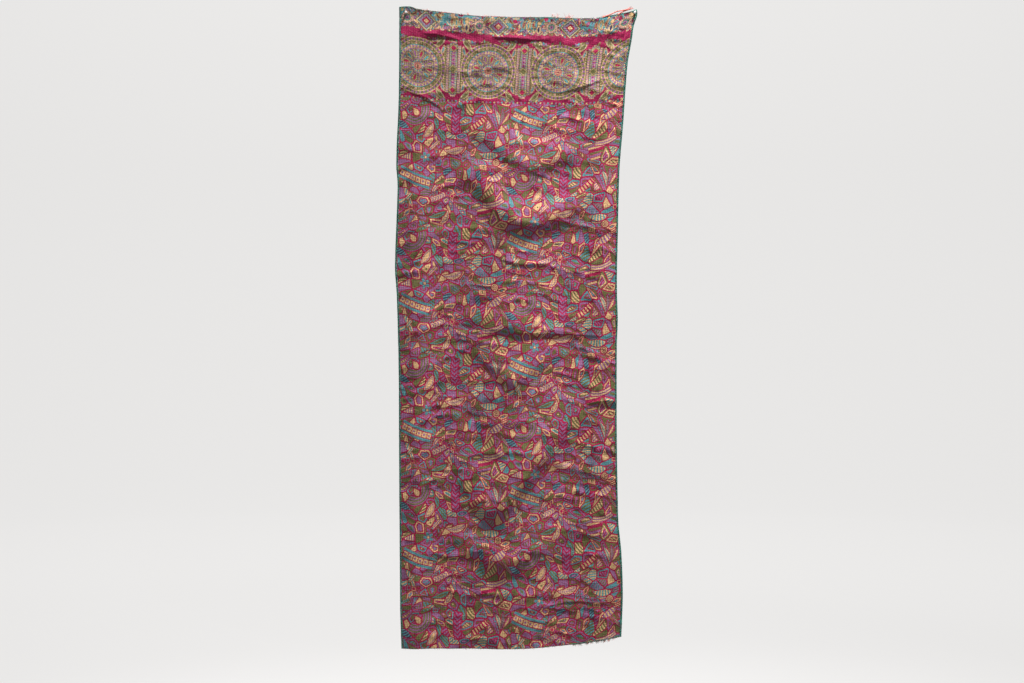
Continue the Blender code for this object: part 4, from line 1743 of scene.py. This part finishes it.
def masks_of(p, q, s, b, pitch, turn):
    """The fillings, in the order of their numbers after PLAIN."""
    along_it = (p / pitch).part()
    inline = (s - pitch).size() < 0.0009
    core = s > pitch
    lengthwise = (q / pitch + 0.25).part() < 0.5
    rungs = along_it < 0.5
    chevrons = ((p + q.size()) / pitch).part() < 0.5
    dots = length_of(along_it - 0.5, q / pitch) < 0.27
    ladder = length_of(along_it - 0.5, q / pitch) < 0.20
    vein = (q.size() < 0.0009).most(((p - q.size()) / pitch).part() < 0.26)
    rings = (s / pitch).part() > 0.5
    spokes = (turn / math.tau * (b * math.pi / pitch).whole()).part() < 0.5
    return inline, core, lengthwise, rungs, chevrons, dots, ladder, vein, rings, spokes


def printed_face():
    finish = Finish("printed_cloth", roughness=0.62, sheen=0.06, specular=0.22)
    u, v = finish.on_map("flat")
    x, y, pitch = finish.sums(finish.attribute("place"))
    a, b, bend = finish.sums(finish.attribute("measure"))
    kind, style, taper = finish.sums(finish.attribute("manner"))
    stroke = Sum(finish.tree, finish.attribute("stroke", "Fac"))
    ground, detail, line = (finish.attribute(name, "Color") for name in ("ground", "detail", "line"))

    shake = finish.noise(finish.vector(u, v, 0.0), 150.0, 1.0) - 0.5
    shake_too = finish.noise(finish.vector(u, v, 3.0), 150.0, 1.0) - 0.5
    x, y = x + shake * STRAY, y + shake_too * STRAY
    up = y + bend
    p = bend * x.angle_to(up)
    q = (length_of(x, up) - bend) / (1.0 + taper * p / a).most(0.05)
    radius = (a * a + b * b) / (b * 2.0)
    leaf = radius - length_of(p, q.size() + radius - b)
    bar = (a - p.size()).least(b - q.size())
    s = between(kind.equals(BAR), leaf, bar).most(kind.equals(PANEL))
    turn = q.angle_to(p)

    inked_in = None
    for number, mask in enumerate(masks_of(p, q, s, b, pitch, turn), start=1):
        chosen = mask * style.equals(number)
        inked_in = chosen if inked_in is None else inked_in + chosen
    in_ladder = style.equals(LADDER) * ((p / pitch).part() < 0.14)
    heart = style.equals(CORE) * ((s - pitch).size() < 0.0006)
    outlined = (s < stroke).most(in_ladder).most(heart)
    colour = finish.mix(inked_in, ground, detail)
    colour = finish.mix(outlined, colour, line)
    finish.paint(dye_and_dimple_shade(finish, u, v, colour))
    finish.relief(cloth_relief(finish, u, v), 0.8)
    return finish.material


def plain_back():
    """The back: a plain old sari, faded plum."""
    finish = Finish("plain_backing", roughness=0.75, sheen=0.05, specular=0.2)
    u, v = finish.on_map("flat")
    faded = finish.noise(finish.vector(u, v, 0.0), 3.0, 3.0)
    colour = finish.mix(faded, linear(104, 30, 60), linear(146, 66, 88))
    finish.paint(dye_and_dimple_shade(finish, u, v, colour))
    finish.relief(cloth_relief(finish, u, v), 0.8)
    return finish.material


cloth_mesh.materials.append(printed_face())
cloth_mesh.materials.append(plain_back())
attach(kantha_cloth, "root")
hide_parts("quilt_cloth")
print("nodes in the print:", len(cloth_mesh.materials[0].node_tree.nodes))

# %% [markdown]
# ## Thread
# All the rest is thread: the overcast sides, the frayed ends and the running stitches. A cord
# is a path with a thickness at each point, and a thousand cords are no harder than one when
# they are worked out as arrays. Each corner of a cord's faces keeps how far along the cord it
# lies and how far round, so that a material can wind the fibres round it, and each cord has
# the colour that it was dyed.

# %% Cords
def unit(vectors):
    return vectors / np.linalg.norm(vectors, axis=-1, keepdims=True)


def cords(paths, radii, sides, across):
    """Closed tubes along many paths with as many points each. It gives their places, their
    triangles, and for each corner: its length along, its step's share, its turn, 1 on a cap."""
    count, steps = paths.shape[:2]
    if radii.ndim == 2:
        radii = np.stack([radii, radii], axis=-1)
    ahead = np.gradient(paths, axis=1)
    side = unit(np.cross(ahead, np.broadcast_to(across, paths.shape)))
    up = unit(np.cross(side, ahead))
    angle = np.arange(sides)[:, None] * math.tau / sides
    ring = side[:, :, None] * (radii[:, :, None, 0:1] * np.cos(angle))
    ring = ring + up[:, :, None] * (radii[:, :, None, 1:2] * np.sin(angle))
    places = (paths[:, :, None] + ring).reshape(-1, 3)
    corners = []
    for i in range(steps - 1):
        for j in range(sides):
            corners += [(i, j, 0), (i + 1, j, 0), (i, j + 1, 0)]
            corners += [(i, j + 1, 0), (i + 1, j, 0), (i + 1, j + 1, 0)]
    for j in range(1, sides - 1):
        corners += [(0, 0, 1), (0, j, 1), (0, j + 1, 1)]
        corners += [(steps - 1, 0, 1), (steps - 1, j + 1, 1), (steps - 1, j, 1)]
    step, turned, cap = np.array(corners).T
    one = step * sides + turned % sides
    faces = (one[None] + (np.arange(count) * steps * sides)[:, None]).reshape(-1, 3)
    gone = np.linalg.norm(np.diff(paths, axis=1), axis=2).cumsum(axis=1)
    length = np.concatenate([np.zeros((count, 1)), gone], axis=1)[:, step].ravel()
    share = np.tile(step / (steps - 1), count)
    return places, faces, length, share, np.tile(turned / sides, count), np.tile(cap, count), count


def thread_object(name, places, faces, tints, thread_map, bake_map, material):
    """One piece of dyed thread, with the thread map that its material reads and a square map."""
    mesh = mesh_from(name, places, faces)
    thing = object_of(mesh)
    mesh.polygons.foreach_set("use_smooth", np.ones(len(mesh.polygons), bool))
    store(mesh, "tint", "FLOAT_COLOR", "FACE", np.hstack([tints, np.ones((len(tints), 1))]))
    add_map(mesh, "thread", thread_map)
    add_map(mesh, "OFBake", bake_map)
    mesh.materials.append(material)
    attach(thing, "root")
    return thing


def thread_piece(name, lots, material):
    """One piece from several lots of cords. Each lot is (cords, the colour of each cord)."""
    places, faces, tints, numbers, corner_facts = [], [], [], [], []
    points, before = 0, 0
    for (spots, triangles, length, share, turn, cap, count), colours in lots:
        places.append(spots)
        faces.append(triangles + points)
        each = len(triangles) // count
        tints.append(np.repeat(np.broadcast_to(colours, (count, 3)), each, axis=0))
        numbers.append(np.repeat(before + np.arange(count), each * 3))
        corner_facts.append(np.stack([length, share, turn, cap], axis=1))
        points += len(spots)
        before += count
    length, share, turn, cap = np.concatenate(corner_facts).T
    cells = math.ceil(math.sqrt(before))
    numbers = np.concatenate(numbers)
    # On the square map each cord has a cell: its caps lie left in it, and its side on the right
    flat_x = np.where(cap > 0, 0.07 + 0.05 * np.cos(turn * math.tau), 0.16 + 0.76 * share)
    flat_y = np.where(cap > 0, 0.50 + 0.05 * np.sin(turn * math.tau), 0.12 + 0.76 * turn)
    bake_map = np.stack([(numbers % cells + flat_x) / cells, (numbers // cells + flat_y) / cells], 1)
    places, faces, tints = (np.concatenate(some) for some in (places, faces, tints))
    print(name + ":", before, "cords,", len(faces), "triangles")
    return thread_object(name, places, faces, tints, np.stack([length, turn], 1), bake_map, material)


def thread_finish(name, roughness, sheen, twist):
    """Twisted thread: fibres that wind round it, fuzz, dye that took unevenly, and a painted highlight
    along the twist.
    """
    finish = Finish(name, roughness=roughness, sheen=sheen, specular=0.3)
    length, turn = finish.on_map("thread")
    place = finish.node("ShaderNodeTexCoord").outputs["Object"]
    fibre = ((length / twist + turn * 2.0) * math.tau).wave()
    fuzz = finish.noise(place, 2600.0, 1.0)
    faded = finish.noise(place, 60.0)
    # the fibre term is a painted highlight: the colour is a little lighter where the twist stands proud
    level = 0.64 + fuzz * 0.40 + faded * 0.32 + fibre * 0.08
    finish.paint(finish.lightened(finish.attribute("tint", "Color"), level))
    finish.relief(fibre * 0.00006 + fuzz * 0.00008, 0.7)
    return finish.material


def tints_from(palette, dice, count):
    """One colour for each of many cords, picked from a palette."""
    return np.array([linear(*palette[i]) for i in dice.integers(0, len(palette), count)])


# %% [markdown]
# ## The overcast sides
# Each side is bound by one green thread that goes over and over the edge. A narrow core is
# the turned edge itself. Each wrap comes up through the cloth, passes over the edge and goes
# down behind, slanting to the next one. Hand sewing never bites equally deep, so each wrap
# takes its own depth.

# %% A line down one side
def side_line(side, v, inward):
    """Places down the left (-1) or right (1) side, this far in from the outline."""
    z = middle_layer(np.full_like(v, 0.0 if side < 0 else FLAT_WIDTH), v)[..., 2]
    x = along(LEFT_EDGE if side < 0 else RIGHT_EDGE, z) - side * inward
    return np.stack([x, -depth(x, z), z], axis=-1)


def side_outward(side, v, inward, step=0.001):
    fall = side_line(side, v + step, inward) - side_line(side, v - step, inward)
    over = side_line(side, v, inward - step) - side_line(side, v, inward + step)
    return unit(np.cross(fall, over)) * side


# %% The two edgings
EDGING_GREEN = [(48, 138, 118), (38, 120, 104), (58, 152, 126), (30, 98, 88)]
EDGING_THICKNESS = 0.0026
CORE_TINT = (34, 96, 84)
CORE_STEPS = 420
WRAP_PITCH = 0.0016
WRAP_RADIUS = 0.00044
WRAP_SLANT = 0.0014
BITE = (0.0004, 0.0021)
# One wrap: distance in from the outline, height off the middle layer, and its share of the bite
WRAP_COURSE = np.array([
    (0.0036, 0.0008, 1.0),
    (0.0034, 0.0014, 0.6),
    (0.0022, 0.0015, 0.0),
    (0.0004, 0.0011, 0.0),
    (-0.0002, 0.0000, 0.0),
    (0.0004, -0.0011, 0.0),
    (0.0022, -0.0015, 0.0),
    (0.0036, -0.0008, 1.0),
])

edging_paint = thread_finish("edging_thread", 0.5, 0.2, 0.0011)


def overcast_side(side, name, seed):
    dice = np.random.default_rng(seed)
    core_v = np.linspace(-FRAY_STRIP_HEIGHT, FLAT_LENGTH + FRAY_STRIP_HEIGHT, CORE_STEPS)[None]
    middle = np.full_like(core_v, EDGING_WIDTH / 2)
    core_size = np.broadcast_to((EDGING_WIDTH / 2 - 0.0002, 0.0010), (*core_v.shape, 2))
    core = cords(side_line(side, core_v, middle), core_size, 10, side_outward(side, core_v, middle))
    count = int(CLOTH_LENGTH / WRAP_PITCH)
    start = -FRAY_STRIP_HEIGHT + (np.arange(count) + dice.uniform(0.2, 0.8, count)) * WRAP_PITCH
    share = np.linspace(0, 1, len(WRAP_COURSE))
    v = start[:, None] + WRAP_SLANT * (share - 0.5)
    inward = WRAP_COURSE[:, 0] + WRAP_COURSE[:, 2] * dice.uniform(*BITE, count)[:, None]
    off = np.broadcast_to(WRAP_COURSE[:, 1], v.shape)
    paths = side_line(side, v, inward) + side_outward(side, v, inward) * off[..., None]
    thickness = np.broadcast_to(WRAP_RADIUS * dice.uniform(0.85, 1.15, count)[:, None], v.shape)
    wraps = cords(paths, thickness, 4, np.array([0.0, 0.0, 1.0]))
    lots = [(core, linear(*CORE_TINT)), (wraps, tints_from(EDGING_GREEN, dice, count))]
    return thread_piece(name, lots, edging_paint)


overcast_left = overcast_side(-1, "overcast_left", 31)
overcast_right = overcast_side(1, "overcast_right", 32)
for piece, node in ((overcast_left, "edging_left"), (overcast_right, "edging_right")):
    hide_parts(node)

# %% [markdown]
# ## The frayed ends
# The top and the hem are torn edges. A few loosened crossways threads lie along each, the
# ends of the lengthways threads stand out between them, and tufts of longer ones have worked
# free. Coral tufts come from an inner layer. Two long coral strands lie up towards the right
# top corner. Where the edge was mended, green thread is whipped over it.

# %% Loosened weave
FRAY_GREEN, FRAY_CORAL = (34, 84, 70), (230, 104, 84)
FRAY_PALE, FRAY_ROSE = (226, 208, 192), (160, 40, 80)
WEAVE_TINTS = [FRAY_GREEN] * 8 + [FRAY_ROSE] * 2 + [FRAY_CORAL] + [FRAY_PALE]
WEFT_SPANS = 16
WEFT_RADIUS = 0.00034
THREAD_ENDS = 640


def past_end(end, u, out, off):
    """Places this far beyond the top (end 0) or the hem (end 1)."""
    return on_cloth(u, -out if end == 0 else FLAT_LENGTH + out, off)


def loose_wefts(end, dice):
    """Crossways threads along a torn end, in short spans so that each can change colour."""
    lots = []
    for level in range(3):
        count = WEFT_SPANS + level
        starts = np.linspace(0, FLAT_WIDTH, count + 1)
        u = starts[:-1, None] + np.diff(starts)[:, None] * np.linspace(-0.03, 1.03, 26)
        u = np.clip(u, 0.0, FLAT_WIDTH)
        out = 0.0002 + 0.0005 * level + 0.00025 * np.sin(u * 190 + 2 * level) * np.sin(u * 53 + level)
        off = 0.0004 * np.sin(u * 240 + level) + dice.uniform(-0.0003, 0.0003, (count, 1))
        radii = np.full(u.shape, WEFT_RADIUS)
        made = cords(past_end(end, u, out, off), radii, 4, np.array([0.0, 1.0, 0.0]))
        lots.append((made, tints_from(WEAVE_TINTS, dice, count)))
    return lots


def thread_ends(end, dice):
    """The ends of the lengthways threads, which stand out of the tear."""
    count = THREAD_ENDS
    roots = np.linspace(0.0006, FLAT_WIDTH - 0.0006, count) + dice.uniform(-0.0004, 0.0004, count)
    t = np.linspace(0, 1, 4)
    reach = dice.uniform(0.0012, 0.0028, count)[:, None]
    lean = dice.uniform(-0.5, 0.5, count)[:, None] + 0.4 * np.sin(roots * 70)[:, None]
    u = roots[:, None] + reach * lean * t * t
    out = -0.0003 + (reach + 0.0003) * t
    off = dice.uniform(-0.0008, 0.0008, count)[:, None] * (1 + 0.6 * t)
    radii = np.broadcast_to(0.00030 - 0.00016 * t, u.shape)
    made = cords(past_end(end, u, out, off), radii, 3, np.array([0.0, 1.0, 0.0]))
    return made, tints_from(WEAVE_TINTS, dice, count)


# %% Tufts, strands and mends
# Share of the width, how many threads, and their longest
TOP_TUFTS = (
    (0.118, 7, 0.007),
    (0.288, 5, 0.012),
    (0.368, 12, 0.010),
    (0.392, 6, 0.006),
    (0.548, 5, 0.006),
    (0.648, 9, 0.012),
    (0.672, 6, 0.020),
    (0.716, 14, 0.018),
    (0.742, 5, 0.008),
    (0.862, 8, 0.008),
    (0.925, 6, 0.009),
)
HEM_TUFTS = (
    (0.790, 12, 0.009),
    (0.815, 14, 0.010),
    (0.850, 20, 0.010),
    (0.870, 16, 0.010),
    (0.895, 20, 0.011),
    (0.925, 22, 0.011),
    (0.950, 18, 0.010),
    (0.975, 16, 0.009),
)
TUFT_SPREAD = 0.014  # share of the width
TOP_LOOSE, HEM_LOOSE = 60, 80
LOOSE_STEPS = 10
LOOSE_LENGTH = 0.0055  # of the longest thread outside the tufts
LOOSE_TINTS = [FRAY_CORAL, FRAY_PALE, FRAY_PALE, FRAY_GREEN, FRAY_GREEN, FRAY_ROSE]
# Where each strand is rooted, then its steps to the right and up
LONG_STRANDS = (
    (0.862, ((0.010, 0.004), (0.013, 0.005), (0.013, 0.006), (0.016, 0.003), (0.014, 0.004),
             (0.008, 0.006))),
    (0.925, ((0.009, 0.006), (0.012, 0.005), (0.010, 0.003), (0.008, 0.004))),
)
STRAND_STEPS = 90
PLY_PITCH = 0.0065
MEND_PITCH = 0.0021  # from one green stitch of a mend to the next
MEND_RADIUS = 0.00042
# Stretches with green thread whipped over the edge, and the tufts' colours: top, then hem
MENDS = {0: ((0.0, 0.09), (0.60, 0.66), (0.835, 1.0)), 1: ((0.78, 1.0),)}
TUFT_TINTS = {
    0: [FRAY_CORAL, FRAY_CORAL, FRAY_CORAL, FRAY_PALE],
    1: [FRAY_CORAL, FRAY_GREEN, FRAY_CORAL, FRAY_GREEN, FRAY_PALE],
}


def curled(end, roots, lengths, dice):
    """Paths of loose threads that lean, curl and stand off the cloth."""
    count = len(roots)
    t = np.linspace(0, 1, LOOSE_STEPS)
    lean = dice.uniform(-0.7, 0.7, (count, 1))
    curl = dice.normal(0, 1.0, (count, 1)) * t
    heading = lean + curl + 0.5 * np.sin(6 * t + dice.uniform(0, 6, (count, 1)))
    step = lengths[:, None] / (LOOSE_STEPS - 1)
    u = roots[:, None] + np.cumsum(np.sin(heading) * step, axis=1)
    out = np.cumsum(np.cos(heading) * step, axis=1) - 0.0004
    off = dice.uniform(-0.0007, 0.0007, (count, 1)) + dice.normal(0, 0.0012, (count, 1)) * t * t
    return past_end(end, u, out, off)


def loose_threads(end, tufts, loose, dice):
    roots, tints, longest = [], [], []
    for place, count, long in tufts:
        roots.append((place + TUFT_SPREAD * (dice.random(count) - 0.5)) * FLAT_WIDTH)
        longest.append(np.full(count, long))
        tints.append(tints_from(TUFT_TINTS[end], dice, count))
    roots.append(dice.uniform(0.01, 0.99, loose) * FLAT_WIDTH)
    tints.append(tints_from(LOOSE_TINTS, dice, loose))
    roots, tints = np.concatenate(roots), np.concatenate(tints)
    longest.append(np.full(loose, LOOSE_LENGTH))
    lengths = np.concatenate(longest) * dice.uniform(0.35, 1.0, len(roots))
    thin = np.linspace(1, 0.35, LOOSE_STEPS) * dice.uniform(0.00034, 0.00056, (len(roots), 1))
    return cords(curled(end, roots, lengths, dice), thin, 4, np.array([0.0, 1.0, 0.0])), tints


def long_strand(root, steps):
    """Two plies wound round the strand's course, which part towards its free end."""
    start = middle_layer(np.array(root * FLAT_WIDTH), np.array(0.0))
    course = np.vstack([[0.0, 0.0], np.cumsum(steps, axis=0)]) + start[[0, 2]]
    x = np.linspace(course[0, 0], course[-1, 0], STRAND_STEPS)
    share = np.linspace(0, 1, STRAND_STEPS)
    z = along(course.tolist(), x)
    heading = unit(np.stack([np.gradient(x), np.zeros_like(x), np.gradient(z)], axis=1))
    gone = np.concatenate([[0], np.cumsum(np.hypot(np.diff(x), np.diff(z)))])
    level = np.stack([-heading[:, 2], np.zeros_like(x), heading[:, 0]], axis=1)
    parting = 0.00072 + 0.0016 * share**8
    middle = np.stack([x, np.full_like(x, start[1] - 0.0012), z], axis=1)
    paths = []
    for ply in (0, 1):
        angle = math.tau * gone / PLY_PITCH + math.pi * ply
        swing = level * np.cos(angle)[:, None] + np.array([0.0, 1.0, 0.0]) * np.sin(angle)[:, None]
        paths.append(middle + swing * parting[:, None])
    thin = 0.00086 * (1 - 0.75 * share**6)
    plies = cords(np.array(paths), np.stack([thin, thin]), 6, np.array([0.0, 1.0, 0.02]))
    return plies, linear(*FRAY_CORAL)


def mend(end, span, dice):
    """Green thread whipped over a stretch of the torn end."""
    width = (span[1] - span[0]) * FLAT_WIDTH
    count = int(width / MEND_PITCH)
    place = span[0] * FLAT_WIDTH + (np.arange(count) + dice.uniform(0.2, 0.8, count)) * width / count
    share = np.linspace(0, 1, len(WRAP_COURSE))
    u = np.clip(place[:, None] + 0.0018 * (share - 0.5), 0.0003, FLAT_WIDTH - 0.0003)
    inward = WRAP_COURSE[:, 0] + WRAP_COURSE[:, 2] * dice.uniform(-0.0012, 0.0016, count)[:, None]
    out = 0.0021 - inward
    paths = past_end(end, u, out, np.broadcast_to(WRAP_COURSE[:, 1], u.shape))
    radii = np.full(u.shape, MEND_RADIUS)
    return cords(paths, radii, 4, np.array([1.0, 0.0, 0.0])), tints_from(EDGING_GREEN, dice, count)


fray_paint = thread_finish("frayed_thread", 0.62, 0.3, 0.0016)


def frayed_end(end, name, tufts, loose, seed):
    dice = np.random.default_rng(seed)
    lots = loose_wefts(end, dice) + [thread_ends(end, dice), loose_threads(end, tufts, loose, dice)]
    lots += [mend(end, span, dice) for span in MENDS[end]]
    if end == 0:
        lots += [long_strand(root, steps) for root, steps in LONG_STRANDS]
    return thread_piece(name, lots, fray_paint)


torn_top = frayed_end(0, "torn_top", TOP_TUFTS, TOP_LOOSE, 41)
torn_hem = frayed_end(1, "torn_hem", HEM_TUFTS, HEM_LOOSE, 42)
for piece, node in ((torn_top, "frayed_top"), (torn_hem, "frayed_hem")):
    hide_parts(node)

# %% [markdown]
# ## The running stitch
# Rows of running stitch hold the layers together, down the whole length, and they are what
# makes this cloth a quilt. There are over twenty thousand stitches on each face, so each one
# is only eight triangles: two ends that dive into the cloth, and four points round its
# middle. Where the thread dives on the face it comes out on the back.

# %% Stitches
STITCH_LENGTH = 0.0043
STITCH_HALF_WIDTH = 0.00034
STITCH_RISE = 0.00040
STITCH_MARGIN = 0.004  # along the cloth's edges, without stitches
STITCH_ROSE = [(168, 62, 92), (150, 52, 84), (186, 84, 108), (140, 60, 84), (176, 98, 106)]
# The points of one stitch: share of its half length, of its half width, and of its rise
STITCH_POINTS = (
    (-1, 0, -0.5),
    (1, 0, -0.5),
    (0, -1, 0.15),
    (0, 1, 0.15),
    (0, 0, 1.0),
    (0, 0, -0.5),
)
STITCH_FACES = np.array([
    (0, 2, 4), (0, 4, 3), (0, 3, 5), (0, 5, 2),
    (1, 4, 2), (1, 3, 4), (1, 5, 3), (1, 2, 5),
])


def stitch_rows(phase):
    """Middle of each stitch, in metres across and down, and the slant of its row there."""
    rows = np.arange(int(FLAT_WIDTH / ROW_PITCH) + 1)
    steps = np.arange(int(FLAT_LENGTH / STITCH_PITCH) + 1)
    row, step = (grid.ravel() for grid in np.meshgrid(rows, steps))
    v = (step + 0.5 + phase + row_shift(row)) * STITCH_PITCH
    u = across_of_row(row, v)
    slant = (across_of_row(row, v + 0.001) - across_of_row(row, v - 0.001)) / 0.002
    inside = (u > STITCH_MARGIN) & (u < FLAT_WIDTH - STITCH_MARGIN)
    inside &= (v > STITCH_MARGIN) & (v < FLAT_LENGTH - STITCH_MARGIN)
    return u[inside], v[inside], slant[inside]


def stitches(name, phase, face, seed, material):
    """Raised stitches on the face (1) or the back (-1)."""
    dice = np.random.default_rng(seed)
    u, v, slant = stitch_rows(phase)
    half = STITCH_LENGTH / 2 * dice.uniform(0.8, 1.15, len(u))
    wide = STITCH_HALF_WIDTH * dice.uniform(0.8, 1.2, len(u))
    surface = CLOTH_THICKNESS / 2 * face
    rise = STITCH_RISE * face
    spots = []
    for down, beside, high in STITCH_POINTS:
        at_u = u + slant * half * down + wide * beside
        spots.append(on_cloth(at_u, v + half * down, surface + rise * high))
    places = np.stack(spots, axis=1).reshape(-1, 3)
    one = STITCH_FACES[:, ::-1] if face > 0 else STITCH_FACES
    faces = (one[None] + (np.arange(len(u)) * 6)[:, None, None]).reshape(-1, 3)
    tints = np.repeat(tints_from(STITCH_ROSE, dice, len(u)), 8, axis=0)
    along_it = np.array([0, 1, 0.5, 0.5, 0.5, 0.5])
    round_it = np.array([0.5, 0.5, 0.0, 0.5, 0.25, 0.75])
    corner = np.tile(one.ravel(), len(u))
    thread_map = np.stack([along_it[corner] * STITCH_LENGTH, round_it[corner]], 1)
    cells = math.ceil(math.sqrt(len(u)))
    number = np.repeat(np.arange(len(u)), 24)
    # On the flat map the ends lie left and right, and the middle's four points one above another
    flat = np.stack([0.1 + 0.8 * along_it[corner], 0.15 + 0.9 * round_it[corner]], axis=1)
    bake_map = (np.stack([number % cells, number // cells], axis=1) + flat) / cells
    thing = thread_object(name, places, faces, tints, thread_map, bake_map, material)
    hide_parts("quilt_cloth")
    print(name + ":", len(u), "stitches,", len(faces), "triangles")
    return thing


stitch_paint = thread_finish("running_thread", 0.55, 0.15, 0.0012)
face_stitches = stitches("face_stitches", 0.0, 1, 51, stitch_paint)
back_stitches = stitches("back_stitches", 0.5, -1, 52, stitch_paint)

# %% [markdown]
# ## The push pins
# Each pin is turned: a disc drawn out step by step and scaled at each step. That is how the
# solid model made it too. Its edges are then rounded with a bevel.

# %% Turning a pin
PIN_BODY = (
    (0.0, 0.0032),
    (0.0010, 0.0032),
    (0.0022, 0.0024),
    (0.0058, 0.0022),
    (0.0074, 0.0030),
    (0.0090, 0.0030),
    (0.0098, 0.0021),
)
SHANK_RADIUS = 0.0006
RIM_ROUND = 0.00035
SHANK_INTO_WALL = 0.011
POINT_LENGTH = 0.002
STEEL_FROM = -0.0045  # the shank is bare behind this depth


def turned_pin(name, side, seat_thickness):
    """A push pin drawn out of a disc: first the body, then the shank from its back."""
    x = side * PIN_SPAN / 2
    seat = float(depth(np.array(x), np.array(0.0))) + seat_thickness / 2 + PIECE_GAP
    deselect_all()
    bpy.ops.mesh.primitive_circle_add(
        vertices=40,
        radius=PIN_BODY[0][1],
        fill_type="NGON",
        location=(x, -seat, 0),
        rotation=(math.radians(90), 0, 0),
    )
    pin = bpy.context.object
    pin.name = name
    pin.data.name = name
    bpy.ops.object.transform_apply(location=True, rotation=True, scale=True)
    bpy.ops.object.mode_set(mode="EDIT")
    bpy.ops.mesh.select_all(action="SELECT")
    for (start, radius), (end, wider) in zip(PIN_BODY, PIN_BODY[1:]):
        bpy.ops.mesh.extrude_region_move(TRANSFORM_OT_translate={"value": (0, start - end, 0)})
        grown = wider / radius
        bpy.ops.transform.resize(value=(grown, 1, grown), center_override=(x, -seat - end, 0))
    back = -seat - 1e-5
    select_where(pin, "FACE", lambda face: len(face.verts) > 4 and face.calc_center_median().y > back)
    bpy.ops.mesh.inset(thickness=PIN_BODY[0][1] - SHANK_RADIUS)
    bpy.ops.mesh.extrude_region_move(
        TRANSFORM_OT_translate={"value": (0, seat + SHANK_INTO_WALL - POINT_LENGTH, 0)}
    )
    bpy.ops.mesh.extrude_region_move(TRANSFORM_OT_translate={"value": (0, POINT_LENGTH, 0)})
    bpy.ops.transform.resize(value=(0.08, 1, 0.08), center_override=(x, SHANK_INTO_WALL, 0))
    bpy.ops.mesh.select_all(action="SELECT")
    bpy.ops.mesh.normals_make_consistent(inside=False)
    bpy.ops.object.mode_set(mode="OBJECT")
    rounding = pin.modifiers.new("Rounded rims", "BEVEL")
    rounding.width = RIM_ROUND
    rounding.segments = 3
    rounding.limit_method = "ANGLE"
    rounding.angle_limit = math.radians(25)
    apply_modifiers(pin)
    bpy.ops.object.shade_smooth_by_angle(angle=math.radians(40))
    print(name + ":", len(pin.data.polygons), "faces, seat at", round(seat * 1000, 2), "mm")
    return pin


# %% Smooth plastic and a steel shank
def pin_plastic():
    finish = Finish("pin_white", roughness=0.22)
    handled = finish.noise(finish.node("ShaderNodeTexCoord").outputs["Object"], 900.0)
    finish.paint(finish.mix(handled, linear(236, 235, 230), linear(250, 249, 246)))
    return finish.material


def pin_steel():
    finish = Finish("pin_steel", roughness=0.3)
    finish.shader.inputs["Metallic"].default_value = 1.0
    drawn = finish.noise(finish.node("ShaderNodeTexCoord").outputs["Object"], 1800.0)
    finish.paint(finish.mix(drawn, linear(150, 150, 148), linear(196, 196, 192)))
    return finish.material


plastic, steel = pin_plastic(), pin_steel()
for name, side, thickness in (("left", -1, CLOTH_THICKNESS), ("right", 1, EDGING_THICKNESS)):
    pin = turned_pin("push_pin_" + name, side, thickness)
    pin.data.materials.append(plastic)
    pin.data.materials.append(steel)
    for face in pin.data.polygons:
        away = math.hypot(face.center.x - side * PIN_SPAN / 2, face.center.z)
        face.material_index = int(away < SHANK_RADIUS * 1.3 and face.center.y > STEEL_FROM)
    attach(pin, "root")
    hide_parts("pin_" + name)
